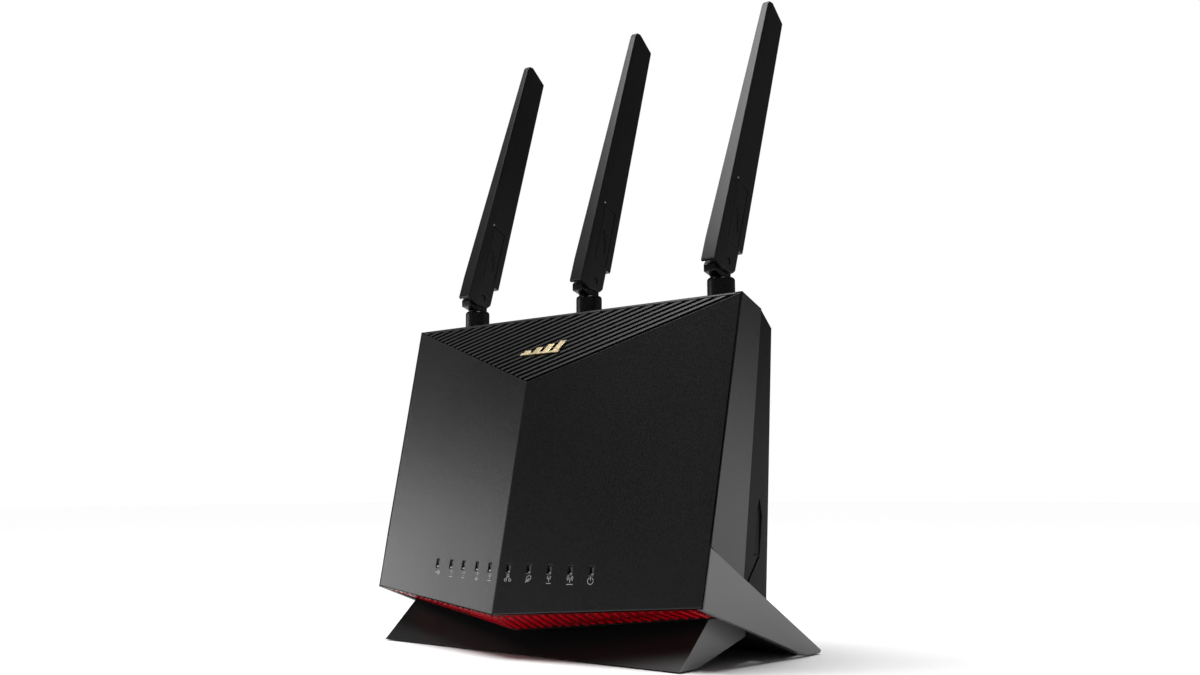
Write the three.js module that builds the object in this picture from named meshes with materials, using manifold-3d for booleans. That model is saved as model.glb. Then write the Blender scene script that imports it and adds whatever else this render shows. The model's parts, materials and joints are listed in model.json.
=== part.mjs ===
// Upright wireless router with three tilting antennas, a faceted front and a splayed stand.
// Millimetres, +Z up, front towards -Y, +X to the right seen from the front.
import * as THREE from "three";
import { ConvexGeometry } from "three/addons/geometries/ConvexGeometry.js";
import { mergeVertices } from "three/addons/utils/BufferGeometryUtils.js";
import Module from "manifold-3d";

const wasm = await Module();
wasm.setup();

// ---------------------------------------------------------------- driving dimensions
const GAP = 0.3; // clearance between pieces that touch
const WALL = 2.4; // moulded wall
const ROUND = 32; // sides of a round piece
const ROUND_SMALL = 16;

const FAR = 200; // beyond the part in any direction

// Corners of the body on the right side; the left side mirrors them.
const FRONT_TOP = [110, 12, 168.7];
const FRONT_BOTTOM = [106.9, -18.7, 27.1];
const CREST_TOP = [0, -15.8, 131.9]; // lower tip of the ribbed triangle
const CREST_BOTTOM = [0, -39.5, 19.7]; // foot of the front crease
const SEAM_TOP = [108, 31.1, 162.8]; // seam between the bezel and the rear cover
const SEAM_BOTTOM = [103.2, 14.3, 10];
const REAR_TOP = [105, 44.3, 155.1];
const REAR_BOTTOM = [102.1, 37.7, 10];
const KEEL_CENTRE = [0, -22.9, 11.5]; // lower edge of the accent strip
const KEEL_SIDE = [104, -3, 22.2];
const KEEL_REAR_Y = 38;
const REAR_STEP = 0.6; // how far the rear cover stands in from the bezel

const PANEL_THICKNESS = 2.4;
const PANEL_LIP = 0.8; // bezel lip seen around the front panel
const TOP_LIP = 1.6; // bezel lip along the top edge of the grille
const CUT_OVER = 4; // how far a cutting space stands proud of a face

const GRILLE_RIBS = 26;
const GRILLE_DEPTH = 1.4; // height of the ribs
const GRILLE_BASE = 1.4; // plate under the ribs
const GRILLE_RIB_SHARE = 0.48; // rib width over pitch

const LED_Z = 41.8;
const LED_XS = [-52.8, -40.7, -29.7, -18, -7.2, 5.3, 16.6, 27.8, 39, 50.2];
const LED_WINDOW = [2.0, 4.0]; // width, height
const LED_BAR_Y = -20; // rear face of the light guide

const ANTENNA_XS = { left: -84.5, centre: 0, right: 84.5 };
const ANTENNA_LEANS = { left: 17, centre: 17, right: 19.5 }; // degrees back from upright
const ANTENNA_Y = 32.1;
const PIVOT_Z = 188.2;
const BARREL_RADIUS = 6.8;
const BARREL_BOTTOM = 159.5;
const BARREL_TOP = 180.4;
const CUP_FLOOR = 157;
const CUP_RADIUS = 8.2;
const CUP_WALL = 1.8;
const CUP_BORE = 3.5;

const PADDLE_LENGTH = 155;
const PADDLE_HALF_BOTTOM = 4.6; // half thickness at the pivot and at the tip
const PADDLE_HALF_TOP = 2.3;
const EAR_INNER_X = 2.6; // the one ear is on the right, outside this plane
const WEB_INNER_Y = -9.1; // rear face of the web in front of the hinge
const HINGE_CEILING = 8.6;
const EYE_RADIUS = 5.5;
const PIN_RADIUS = 1.5;

const BOARD_FRONT = 15;
const BOARD_REAR = 16.6;
const TRAY_FLOOR = 31; // rear face of the port tray's floor
const PORT_Z = 44;
const TRAY_HALF = [92.5, 15.5]; // half width, half height
const TRAY_DEPTH_END = 38.2;
const TRAY_WALL = 2;

const PORT_XS = {
  dc_inlet: 79,
  power_button: 61,
  usb_socket: 41,
  lan_jack_3: 20,
  lan_jack_2: 2.5,
  lan_jack_1: -15,
  wan_jack: -35,
  wps_button: -54,
  reset_button: -64,
  sim_tray: -79,
};

const GROUND_LIFT = 0.6; // rubber pads stand this far below the feet
const FOOT_HALF = 96.5;
const SCREW_X = 97;
const SCREW_ZS = { upper: 136, lower: 74 };

// ---------------------------------------------------------------- materials
const MATERIALS = {
  front_black: { color: 0x232325, roughness: 0.55, metalness: 0 },
  shell_black: { color: 0x1b1b1d, roughness: 0.6, metalness: 0 },
  grille_black: { color: 0x2a2a2c, roughness: 0.45, metalness: 0 },
  stand_grey: { color: 0x38383a, roughness: 0.5, metalness: 0 },
  accent_red: { color: 0xa5000f, roughness: 0.2, metalness: 0 },
  emblem_gold: { color: 0xe0cf92, roughness: 0.35, metalness: 0.9 },
  antenna_black: { color: 0x19191a, roughness: 0.55, metalness: 0 },
  rubber: { color: 0x101010, roughness: 0.9, metalness: 0 },
  board_green: { color: 0x14532d, roughness: 0.5, metalness: 0.1 },
  aluminium: { color: 0xb4b6b8, roughness: 0.4, metalness: 1 },
  tin: { color: 0xc8c8c4, roughness: 0.3, metalness: 1 },
  brass: { color: 0xc9a552, roughness: 0.3, metalness: 1 },
  jack_black: { color: 0x141414, roughness: 0.5, metalness: 0 },
  jack_blue: { color: 0x1f5fa8, roughness: 0.5, metalness: 0 },
  jack_yellow: { color: 0xd8a91c, roughness: 0.5, metalness: 0 },
  button_grey: { color: 0x4a4a4c, roughness: 0.5, metalness: 0 },
  clear: { color: 0xe8e8e8, roughness: 0.2, metalness: 0 },
  steel: { color: 0x8d8f92, roughness: 0.3, metalness: 1 },
};

// ---------------------------------------------------------------- solids
const mirrored = ([x, y, z]) => [-x, y, z];
const at = ([x, y, z], dx, dy, dz) => [x + dx, y + dy, z + dz];
const bothSides = (points) => points.concat(points.map(mirrored));

function solid(geometry) {
  geometry.deleteAttribute("normal");
  geometry.deleteAttribute("uv");
  const merged = mergeVertices(geometry, 1e-4);
  return new wasm.Manifold(
    new wasm.Mesh({
      numProp: 3,
      vertProperties: merged.attributes.position.array,
      triVerts: new Uint32Array(merged.index.array),
    }),
  );
}

function hull(points) {
  return solid(new ConvexGeometry(points.map((p) => new THREE.Vector3(...p))));
}

// Box between two opposite corners.
function block(low, high) {
  const size = high.map((value, i) => value - low[i]);
  const centre = high.map((value, i) => (value + low[i]) / 2);
  return solid(new THREE.BoxGeometry(...size).translate(...centre));
}

// Round bar of one radius between two points on a line along x, y or z.
function bar(radius, from, to, sides = ROUND_SMALL) {
  const start = new THREE.Vector3(...from);
  const along = new THREE.Vector3(...to).sub(start);
  const turn = new THREE.Quaternion().setFromUnitVectors(
    new THREE.Vector3(0, 1, 0),
    along.clone().normalize(),
  );
  const geometry = new THREE.CylinderGeometry(radius, radius, along.length(), sides);
  geometry.applyQuaternion(turn);
  const middle = start.addScaledVector(along, 0.5);
  return solid(geometry.translate(middle.x, middle.y, middle.z));
}

// Turned piece about the vertical through (x, y); profile is [radius, z] pairs.
function turned(profile, x, y, sides = ROUND) {
  const outline = profile.map(([radius, z]) => new THREE.Vector2(radius, z));
  const geometry = new THREE.LatheGeometry(outline, sides);
  return solid(geometry.rotateX(Math.PI / 2).translate(x, y, 0));
}

// Outline of [y, z] pairs, extruded along x from x0 to x1.
function profileAlongX(outline, x0, x1) {
  const shape = new THREE.Shape(outline.map(([y, z]) => new THREE.Vector2(y, z)));
  const geometry = new THREE.ExtrudeGeometry(shape, { depth: x1 - x0, bevelEnabled: false });
  const axes = new THREE.Matrix4().makeBasis(
    new THREE.Vector3(0, 1, 0),
    new THREE.Vector3(0, 0, 1),
    new THREE.Vector3(1, 0, 0),
  );
  return solid(geometry.applyMatrix4(axes).translate(x0, 0, 0));
}

// A flat polygon with each edge moved inwards by its own distance.
function insetPolygon(points, distances) {
  const corners = points.map((p) => new THREE.Vector3(...p));
  const normal = polygonNormal(points);
  const inward = corners.map((corner, i) => {
    const next = corners[(i + 1) % corners.length];
    return normal.clone().cross(next.clone().sub(corner)).normalize();
  });
  return corners.map((corner, i) => {
    const before = (i + corners.length - 1) % corners.length;
    const cosine = inward[before].dot(inward[i]);
    const scale = 1 / (1 - cosine * cosine);
    return corner
      .clone()
      .addScaledVector(inward[before], (distances[before] - cosine * distances[i]) * scale)
      .addScaledVector(inward[i], (distances[i] - cosine * distances[before]) * scale)
      .toArray();
  });
}

// Outward normal of a polygon whose corners run anticlockwise seen from outside.
function polygonNormal(points) {
  const [a, b, c] = points.map((p) => new THREE.Vector3(...p));
  return b.sub(a).cross(c.sub(a)).normalize();
}

// Plate under a polygon: from `above` over its face to `below` under it.
function plate(points, distances, above, below) {
  const normal = polygonNormal(points);
  const rim = insetPolygon(points, distances).map((p) => new THREE.Vector3(...p));
  const shifted = (amount) => rim.map((p) => p.clone().addScaledVector(normal, amount).toArray());
  return hull(shifted(above).concat(shifted(-below)));
}

function mirror(piece) {
  return piece.mirror([1, 0, 0]);
}

function withMirror(piece) {
  return piece.add(mirror(piece));
}

const router = new THREE.Group();

function addPiece(name, piece, materialName, parent = router) {
  const source = piece.getMesh();
  let geometry = new THREE.BufferGeometry();
  geometry.setAttribute("position", new THREE.BufferAttribute(source.vertProperties, 3));
  geometry.setIndex(new THREE.BufferAttribute(source.triVerts, 1));
  geometry = geometry.toNonIndexed();
  geometry.computeVertexNormals();
  const mesh = new THREE.Mesh(geometry, new THREE.MeshStandardMaterial(MATERIALS[materialName]));
  mesh.name = name;
  parent.add(mesh);
}

// ---------------------------------------------------------------- shapes shared by several pieces
const FRONT_FACE = [CREST_BOTTOM, FRONT_BOTTOM, FRONT_TOP, CREST_TOP];
const TOP_EDGE = 2; // edge of a front face that meets the grille
const CREST_EDGE = 3; // edge that a face shares with its mirror image
const GRILLE_TOP_EDGE = 1;
const GRILLE_FACE = [CREST_TOP, FRONT_TOP, mirrored(FRONT_TOP)];
const ACCENT_FACE = [KEEL_CENTRE, KEEL_SIDE, FRONT_BOTTOM, CREST_BOTTOM];

function edges(count, distance, changes = {}) {
  return Array.from({ length: count }, (_, i) => changes[i] ?? distance);
}

// Height of the body's underside, a shallow keel.
function keelHeight(x) {
  const rise = (KEEL_SIDE[2] - KEEL_CENTRE[2]) / KEEL_SIDE[0];
  return KEEL_CENTRE[2] + rise * Math.abs(x);
}

// Everything above the keel lowered by a small gap.
function aboveKeel() {
  const lower = [0, FAR].flatMap((x) => [
    [x, -FAR, keelHeight(x) - GAP],
    [x, FAR, keelHeight(x) - GAP],
  ]);
  return withMirror(hull(lower.concat(lower.map(([x, y]) => [x, y, FAR]))));
}

function rearFaceY(z) {
  const slope = (REAR_TOP[1] - REAR_BOTTOM[1]) / (REAR_TOP[2] - REAR_BOTTOM[2]);
  return REAR_BOTTOM[1] + (z - REAR_BOTTOM[2]) * slope;
}

// Stand: lower and upper edge of the splayed cheeks, seen from the side.
const CHEEK_TOP = [107.5, -13, 53.4];
const CHEEK_TIP_FRONT = [111.9, 57, GROUND_LIFT];
const CHEEK_TIP_REAR = [112, 69, GROUND_LIFT];
const CHEEK_TIP_RADIUS = 1.6;
const CHEEK_THICKNESS = 3;

function cheek(grow) {
  const outline = [FRONT_BOTTOM, CHEEK_TOP];
  const steps = 4;
  for (let step = 0; step <= steps; step += 1) {
    const angle = (step / steps) * (Math.PI / 2);
    const dy = CHEEK_TIP_RADIUS * Math.cos(angle);
    const dz = CHEEK_TIP_RADIUS * (1 - Math.sin(angle));
    outline.push(at(CHEEK_TIP_REAR, 0, dy, dz));
  }
  outline.push(CHEEK_TIP_FRONT);
  const outer = outline.map((p) => at(p, grow, 0, 0));
  const inner = outline.map((p) => at(p, -CHEEK_THICKNESS - grow, 0, 0));
  return hull(outer.concat(inner));
}

// Spaces that one piece leaves for its neighbour.
const panelSpace = plate(
  FRONT_FACE,
  edges(4, PANEL_LIP - GAP, { [TOP_EDGE]: -GAP, [CREST_EDGE]: 0 }),
  CUT_OVER,
  PANEL_THICKNESS + GAP,
);
const grilleSpace = plate(
  GRILLE_FACE,
  edges(3, 0, { [GRILLE_TOP_EDGE]: TOP_LIP - GAP }),
  CUT_OVER,
  GRILLE_DEPTH + GRILLE_BASE + GAP,
);
const accentSpace = plate(
  ACCENT_FACE,
  edges(4, -GAP, { [CREST_EDGE]: 0 }),
  CUT_OVER,
  PANEL_THICKNESS + GAP,
);
const cheekSpace = [-GAP, 0, GAP]
  .map((dz) => cheek(GAP).translate(0, 0, dz))
  .reduce((all, layer) => all.add(layer));

// ---------------------------------------------------------------- body shell
function frontPanel() {
  const face = plate(
    FRONT_FACE,
    edges(4, PANEL_LIP, { [TOP_EDGE]: 0, [CREST_EDGE]: 0 }),
    0,
    PANEL_THICKNESS,
  );
  let panel = withMirror(face).subtract(grilleSpace);
  const [width, height] = LED_WINDOW;
  LED_XS.forEach((x) => {
    const window = block(
      [x - width / 2, CREST_BOTTOM[1] - 1, LED_Z - height / 2],
      [x + width / 2, LED_BAR_Y, LED_Z + height / 2],
    );
    panel = panel.subtract(window);
  });
  return panel;
}

function topGrille() {
  const insets = edges(3, GAP, { [GRILLE_TOP_EDGE]: TOP_LIP });
  const base = plate(GRILLE_FACE, insets, -GRILLE_DEPTH, GRILLE_DEPTH + GRILLE_BASE);
  const ribZone = plate(GRILLE_FACE, insets, 0, GRILLE_DEPTH + GRILLE_BASE / 2);
  const normal = polygonNormal(GRILLE_FACE);
  const along = new THREE.Vector3(...FRONT_TOP).sub(new THREE.Vector3(...CREST_TOP)).normalize();
  const across = normal.clone().cross(along);
  const apex = new THREE.Vector3(...CREST_TOP);
  const span = new THREE.Vector3(...mirrored(FRONT_TOP)).sub(apex).dot(across);
  const pitch = span / GRILLE_RIBS;
  const halfRib = (pitch * GRILLE_RIB_SHARE) / 2;
  const reach = 2 * FRONT_TOP[0];
  const firstRib = 0.7; // place of the first rib, in pitches above the tip
  let ribs = base;
  for (let i = 0; i < GRILLE_RIBS; i += 1) {
    const centre = apex.clone().addScaledVector(across, (i + firstRib) * pitch);
    const corners = [];
    for (const a of [-reach, reach]) {
      for (const b of [-halfRib, halfRib]) {
        for (const c of [-GRILLE_DEPTH * 4, GRILLE_DEPTH * 4]) {
          corners.push(
            centre
              .clone()
              .addScaledVector(along, a)
              .addScaledVector(across, b)
              .addScaledVector(normal, c)
              .toArray(),
          );
        }
      }
    }
    ribs = ribs.add(hull(corners).intersect(ribZone));
  }
  return ribs;
}

// Four signal bars of growing height on one base line, lying on the grille's face.
const EMBLEM = {
  height: 0.47, // share of the triangle's height
  thickness: 0.8,
  slant: 0.35,
  baseHalf: 13,
  base: [-3.8, -2.6],
  barsLeft: -11.5,
  barWidth: 4,
  barPitch: 6.6,
  barFoot: -3.2,
  barTop: -1,
  barRise: 1.6,
};

function emblem() {
  const normal = polygonNormal(GRILLE_FACE);
  const up = normal.clone().cross(new THREE.Vector3(1, 0, 0));
  const middle = new THREE.Vector3(...CREST_TOP)
    .lerp(new THREE.Vector3(0, FRONT_TOP[1], FRONT_TOP[2]), EMBLEM.height)
    .addScaledVector(normal, GAP);
  const place = (x, height, lift) =>
    middle
      .clone()
      .add(new THREE.Vector3(x + EMBLEM.slant * height, 0, 0))
      .addScaledVector(up, height)
      .addScaledVector(normal, lift)
      .toArray();
  const slab = (x0, x1, low, high) =>
    hull(
      [0, EMBLEM.thickness].flatMap((lift) => [
        place(x0, low, lift),
        place(x1, low, lift),
        place(x1, high, lift),
        place(x0, high, lift),
      ]),
    );
  let mark = slab(-EMBLEM.baseHalf, EMBLEM.baseHalf, ...EMBLEM.base);
  for (let i = 0; i < 4; i += 1) {
    const left = EMBLEM.barsLeft + i * EMBLEM.barPitch;
    const top = EMBLEM.barTop + i * EMBLEM.barRise;
    mark = mark.add(slab(left, left + EMBLEM.barWidth, EMBLEM.barFoot, top));
  }
  return mark;
}

// Frame between the front panel and the rear cover, open at the front, rear and bottom.
const SCREW_POST_RADIUS = 3.6;
const SCREW_BORE = 1.7;
const SCREW_SINK = { radius: 3.4, depth: 1.4 };

function bezel() {
  const outer = hull(
    bothSides([FRONT_TOP, FRONT_BOTTOM, SEAM_TOP, SEAM_BOTTOM]).concat([CREST_TOP, CREST_BOTTOM]),
  );
  const topSlope = (SEAM_TOP[2] - FRONT_TOP[2]) / (SEAM_TOP[1] - FRONT_TOP[1]);
  const reach = 30; // the hollow runs out of the frame this far at each end
  const flare = [2, 1.4]; // how much the hollow follows the side wall, at its top and bottom
  const inner = hull(
    bothSides([
      at(FRONT_TOP, flare[0] - WALL, -reach, -WALL - reach * topSlope),
      at(SEAM_TOP, -flare[0] - WALL, reach, -WALL + reach * topSlope),
      at(FRONT_BOTTOM, flare[1] - WALL, -reach, -reach),
      at(SEAM_BOTTOM, -flare[0] - WALL, reach, -reach),
    ]),
  );
  let frame = outer.subtract(inner);
  for (const z of Object.values(SCREW_ZS)) {
    frame = frame.add(withMirror(screwPost(z, outer)));
  }
  frame = frame.subtract(withMirror(panelSpace)).subtract(grilleSpace);
  frame = frame.subtract(withMirror(cheekSpace)).subtract(withMirror(accentSpace));
  for (const x of Object.values(ANTENNA_XS)) {
    frame = frame.subtract(upright(CUP_RADIUS + CUP_WALL + GAP, x, BARREL_BOTTOM - 10, ABOVE));
  }
  const floor = keelHeight(KEEL_SIDE[0]) + WALL + 4 * GAP;
  return frame.subtract(block([-FAR, -FAR, -FAR], [FAR, FAR, floor]));
}

// Post on the inside of the frame's side wall that takes a cover screw.
function screwPost(z, outer) {
  const front = 19;
  const rear = rearFaceY(z) - WALL - 2 * GAP;
  const post = bar(SCREW_POST_RADIUS, [SCREW_X, front, z], [SCREW_X, rear, z]);
  const web = block([SCREW_X, 16, z - 2], [FRONT_BOTTOM[0], 22, z + 2]).intersect(outer);
  const bore = bar(SCREW_BORE, [SCREW_X, 22, z], [SCREW_X, REAR_TOP[1], z]);
  return post.add(web).subtract(bore);
}

// Upright bar about an antenna's axis.
const ABOVE = FRONT_TOP[2] + 10;

function upright(radius, x, from, to, sides = ROUND) {
  return bar(radius, [x, ANTENNA_Y, from], [x, ANTENNA_Y, to], sides);
}

function rearCover() {
  const seam = at(SEAM_TOP, -REAR_STEP, GAP, 0);
  const seamLow = at(SEAM_BOTTOM, -REAR_STEP, GAP, 0);
  const outer = hull(bothSides([seam, seamLow, REAR_TOP, REAR_BOTTOM]));
  const roofSlope = (REAR_TOP[2] - SEAM_TOP[2]) / (REAR_TOP[1] - SEAM_TOP[1]);
  const roofDrop = WALL * Math.hypot(1, roofSlope);
  const reach = 6;
  const flare = [0.9, 0.3]; // the side walls lean outwards towards the seam
  const inner = hull(
    bothSides([
      at(seam, flare[0] - WALL, -reach, -roofDrop - reach * roofSlope),
      at(REAR_TOP, -WALL, -WALL, -roofDrop - WALL * roofSlope),
      at(REAR_BOTTOM, -WALL, -WALL, -reach),
      at(seamLow, flare[1] - WALL, -reach, -reach),
    ]),
  );
  let cover = outer.subtract(inner);
  const [trayX, trayZ] = TRAY_HALF;
  cover = cover.subtract(
    block(
      [-trayX - GAP, TRAY_FLOOR - 3, PORT_Z - trayZ - GAP],
      [trayX + GAP, REAR_TOP[1] + 5, PORT_Z + trayZ + GAP],
    ),
  );
  for (const x of Object.values(ANTENNA_XS)) {
    cover = cover
      .add(antennaCup(x))
      .subtract(upright(CUP_RADIUS, x, CUP_FLOOR, ABOVE))
      .subtract(upright(CUP_BORE, x, CUP_FLOOR - WALL - 1, ABOVE, ROUND_SMALL));
  }
  for (const z of Object.values(SCREW_ZS)) {
    const face = rearFaceY(z);
    for (const x of [-SCREW_X, SCREW_X]) {
      const sink = [x, face - SCREW_SINK.depth, z];
      cover = cover
        .subtract(bar(SCREW_BORE, [x, face - 5, z], [x, face + 5, z]))
        .subtract(bar(SCREW_SINK.radius, sink, [x, face + 5, z]));
    }
  }
  return cover.subtract(rearVents()).subtract(sideRecess()).subtract(belowKeel());
}

// Round wall in the roof that an antenna's barrel stands in.
function antennaCup(x) {
  const shelf = CUP_FLOOR - WALL;
  const below = shelf - 5;
  const roof = hull(
    bothSides([
      FRONT_TOP,
      SEAM_TOP,
      REAR_TOP,
      [REAR_TOP[0], FRONT_TOP[1], below],
      [REAR_TOP[0], REAR_TOP[1], below],
    ]),
  );
  return upright(CUP_RADIUS + CUP_WALL, x, shelf, ABOVE).intersect(roof);
}

// Everything under the top face of the base cover.
function belowKeel() {
  const raise = WALL + GAP;
  const points = [0, FAR].flatMap((x) => [
    [x, -FAR, keelHeight(x) + raise],
    [x, FAR, keelHeight(x) + raise],
  ]);
  return withMirror(hull(points.concat(points.map(([x, y]) => [x, y, -FAR]))));
}

// Two rows of upright slots in the rear wall.
const VENT_ROWS = [
  [82, 104],
  [108, 130],
];
const VENT_PITCH = 7;
const VENT_HALF_WIDTH = 1.3;
const VENTS_EACH_SIDE = 9;

function rearVents() {
  const slots = [];
  for (const [low, high] of VENT_ROWS) {
    for (let i = -VENTS_EACH_SIDE; i <= VENTS_EACH_SIDE; i += 1) {
      const x = i * VENT_PITCH;
      slots.push(
        block(
          [x - VENT_HALF_WIDTH, KEEL_REAR_Y - 3, low],
          [x + VENT_HALF_WIDTH, REAR_TOP[1] + 4, high],
        ),
      );
    }
  }
  return slots.reduce((all, slot) => all.add(slot));
}

// Shallow pocket low in each side wall of the rear cover, with an oblique groove under it.
const POCKET_OUTLINE = [[26.4, 48.4], [31.6, 48.4], [33.4, 66.4], [31.3, 74], [28.8, 66.4]];
const GROOVE_OUTLINE = [[20.6, 36.2], [22, 36.2], [31.6, 47.6], [30.7, 47.9]];
const POCKET_FLOOR_X = 103.15;
const GROOVE_FLOOR_X = 102.7;

function sideRecess() {
  const pocket = profileAlongX(POCKET_OUTLINE, POCKET_FLOOR_X, FAR);
  const groove = profileAlongX(GROOVE_OUTLINE, GROOVE_FLOOR_X, FAR);
  return withMirror(pocket.add(groove));
}

function baseCover() {
  const lower = [
    KEEL_CENTRE,
    KEEL_SIDE,
    [REAR_BOTTOM[0] - 0.5, KEEL_REAR_Y, keelHeight(REAR_BOTTOM[0])],
    [0, KEEL_REAR_Y, KEEL_CENTRE[2]],
  ];
  const half = hull(lower.concat(lower.map((p) => at(p, 0, 0, WALL))));
  return withMirror(half).subtract(withMirror(accentSpace)).subtract(withMirror(cheekSpace));
}

// Red strip under the front panel; it stands a little behind the panel's edge.
const ACCENT_SETBACK = 0.6;
const ACCENT_END_INSET = 1.2;

function accentStrip() {
  const insets = edges(4, GAP / 2, {
    1: ACCENT_END_INSET,
    [TOP_EDGE]: PANEL_LIP,
    [CREST_EDGE]: 0,
  });
  const strip = withMirror(plate(ACCENT_FACE, insets, -ACCENT_SETBACK, PANEL_THICKNESS));
  return strip.subtract(withMirror(panelSpace)).subtract(withMirror(cheekSpace));
}

// ---------------------------------------------------------------- stand
function underside(y) {
  const slope = (CHEEK_TIP_FRONT[2] - FRONT_BOTTOM[2]) / (CHEEK_TIP_FRONT[1] - FRONT_BOTTOM[1]);
  return FRONT_BOTTOM[2] + (y - FRONT_BOTTOM[1]) * slope;
}

const PAD_XS = 78;
const PAD_HALF = [11, 3.2];
const PAD_HEIGHT = 1.5;
const PAD_YS = { front: -15.2, rear: 61.6 };

function padSpace(y) {
  const [x, dy] = PAD_HALF;
  return withMirror(
    block(
      [PAD_XS - x - GAP, y - dy - GAP, -1],
      [PAD_XS + x + GAP, y + dy + GAP, PAD_HEIGHT + GAP],
    ),
  );
}

const FRONT_FOOT_OUTLINE = [
  [-22.3, GROUND_LIFT],
  [-8.8, GROUND_LIFT],
  [29.5, 10.9],
  [29.5, 26],
  [5.4, 26],
];
const FRONT_FOOT_HOLLOW = [[-5, -5], [-5, 9], [8, 28], [35, 28], [35, -5]];
const FRONT_FOOT_END_WALL = 4;
const REAR_FOOT_HALF = 106.4;
const REAR_FOOT_FRONT_Y = 30;

function frontFoot() {
  const foot = profileAlongX(FRONT_FOOT_OUTLINE, -FOOT_HALF, FOOT_HALF);
  const inside = FOOT_HALF - FRONT_FOOT_END_WALL;
  const hollow = profileAlongX(FRONT_FOOT_HOLLOW, -inside, inside);
  return foot.subtract(hollow).subtract(aboveKeel()).subtract(padSpace(PAD_YS.front));
}

function rearFoot() {
  const bodyClear = KEEL_REAR_Y + 4 * GAP;
  const bodySpace = aboveKeel().intersect(block([-FAR, -FAR, -FAR], [FAR, bodyClear, FAR]));
  const topSlope = (CHEEK_TIP_REAR[2] - CHEEK_TOP[2]) / (CHEEK_TIP_REAR[1] - CHEEK_TOP[1]);
  const topZ = CHEEK_TOP[2] + (bodyClear - CHEEK_TOP[1]) * topSlope;
  const outline = [
    [REAR_FOOT_FRONT_Y, underside(REAR_FOOT_FRONT_Y)],
    [CHEEK_TIP_FRONT[1], GROUND_LIFT],
    [CHEEK_TIP_REAR[1], GROUND_LIFT],
    [bodyClear, topZ],
    [REAR_FOOT_FRONT_Y, topZ],
  ];
  const foot = profileAlongX(outline, -REAR_FOOT_HALF, REAR_FOOT_HALF);
  return foot.subtract(bodySpace).subtract(padSpace(PAD_YS.rear));
}

function pad(side, y) {
  const [x, dy] = PAD_HALF;
  const centre = side * PAD_XS;
  return block([centre - x, y - dy, 0], [centre + x, y + dy, PAD_HEIGHT]);
}

// ---------------------------------------------------------------- ports, buttons and SIM tray
const JACK_OUTER = [7.8, 6.6]; // half width, half height
const JACK_OPENING = [5.9, 4.2];
const JACK_BACK_WALL = 3;
const JACK_LATCH = { half: 3, rise: 1.4 };
const JACK_FACE = TRAY_FLOOR + 0.6;
const BEYOND_FACE = JACK_FACE + 1; // cuts run past the sockets' faces
const BOARD_CLEAR = BOARD_REAR + GAP;

function networkJack(x) {
  const [w, h] = JACK_OUTER;
  const [a, b] = JACK_OPENING;
  const back = BOARD_CLEAR + JACK_BACK_WALL;
  const body = block([x - w, BOARD_CLEAR, PORT_Z - h], [x + w, JACK_FACE, PORT_Z + h]);
  const cavity = block([x - a, back, PORT_Z - b], [x + a, BEYOND_FACE, PORT_Z + b]);
  const latch = block(
    [x - JACK_LATCH.half, back, PORT_Z],
    [x + JACK_LATCH.half, BEYOND_FACE, PORT_Z + b + JACK_LATCH.rise],
  );
  return body.subtract(cavity).subtract(latch);
}

const USB_OUTER = [7.0, 3.6];
const USB_OPENING = [6.3, 2.6];
const USB_TONGUE = { half: 5.4, low: -0.1, high: 1.7 };
const SOCKET_BACK_WALL = 2;
const CONTACT_SETBACK = 3.6; // tongue and pin end this far behind the face

function usbSocket(x) {
  const [w, h] = USB_OUTER;
  const [a, b] = USB_OPENING;
  const body = block([x - w, BOARD_CLEAR, PORT_Z - h], [x + w, JACK_FACE, PORT_Z + h]);
  const back = BOARD_CLEAR + SOCKET_BACK_WALL;
  const cavity = block([x - a, back, PORT_Z - b], [x + a, BEYOND_FACE, PORT_Z + b]);
  const tongue = block(
    [x - USB_TONGUE.half, BOARD_CLEAR + 1, PORT_Z + USB_TONGUE.low],
    [x + USB_TONGUE.half, JACK_FACE - CONTACT_SETBACK, PORT_Z + USB_TONGUE.high],
  );
  return body.subtract(cavity).add(tongue);
}

const DC_OUTER = [5.2, 5.6];
const DC_BORE = 3.2;
const DC_PIN = 1.05;

function dcInlet(x) {
  const [w, h] = DC_OUTER;
  const body = block([x - w, BOARD_CLEAR, PORT_Z - h], [x + w, JACK_FACE, PORT_Z + h]);
  const back = BOARD_CLEAR + SOCKET_BACK_WALL;
  const bore = portBar(DC_BORE, x, back, BEYOND_FACE);
  const pin = portBar(DC_PIN, x, BOARD_CLEAR + 1, JACK_FACE - CONTACT_SETBACK, ROUND_SMALL);
  return body.subtract(bore).add(pin);
}

// Bar along y at the ports' height.
function portBar(radius, x, from, to, sides = ROUND) {
  return bar(radius, [x, from, PORT_Z], [x, to, PORT_Z], sides);
}

// Push button: stem, retaining flange behind the tray floor and cap.
const BUTTON = { end: 23, flange: [-5, -3.6], flangeRim: 1, stemShare: 0.55 };

function pushButton(x, radius, proud) {
  const [low, high] = BUTTON.flange.map((offset) => TRAY_FLOOR + offset);
  const middle = (low + high) / 2;
  return portBar(radius * BUTTON.stemShare, x, BUTTON.end, middle, ROUND_SMALL)
    .add(portBar(radius + BUTTON.flangeRim, x, low, high))
    .add(portBar(radius, x, middle, TRAY_FLOOR + proud));
}

const POWER_RADIUS = 3.9;
const WPS_RADIUS = 2.8;
const RESET_RADIUS = 0.9;
const BUTTON_CLEARANCE = 0.35;

const RESET_FLANGE = [24, 25.4];

function resetButton(x) {
  const stem = portBar(RESET_RADIUS, x, RESET_FLANGE[0], TRAY_FLOOR - 1, ROUND_SMALL);
  const flange = portBar(RESET_RADIUS + 1, x, ...RESET_FLANGE, ROUND_SMALL);
  return stem.add(flange);
}

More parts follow.
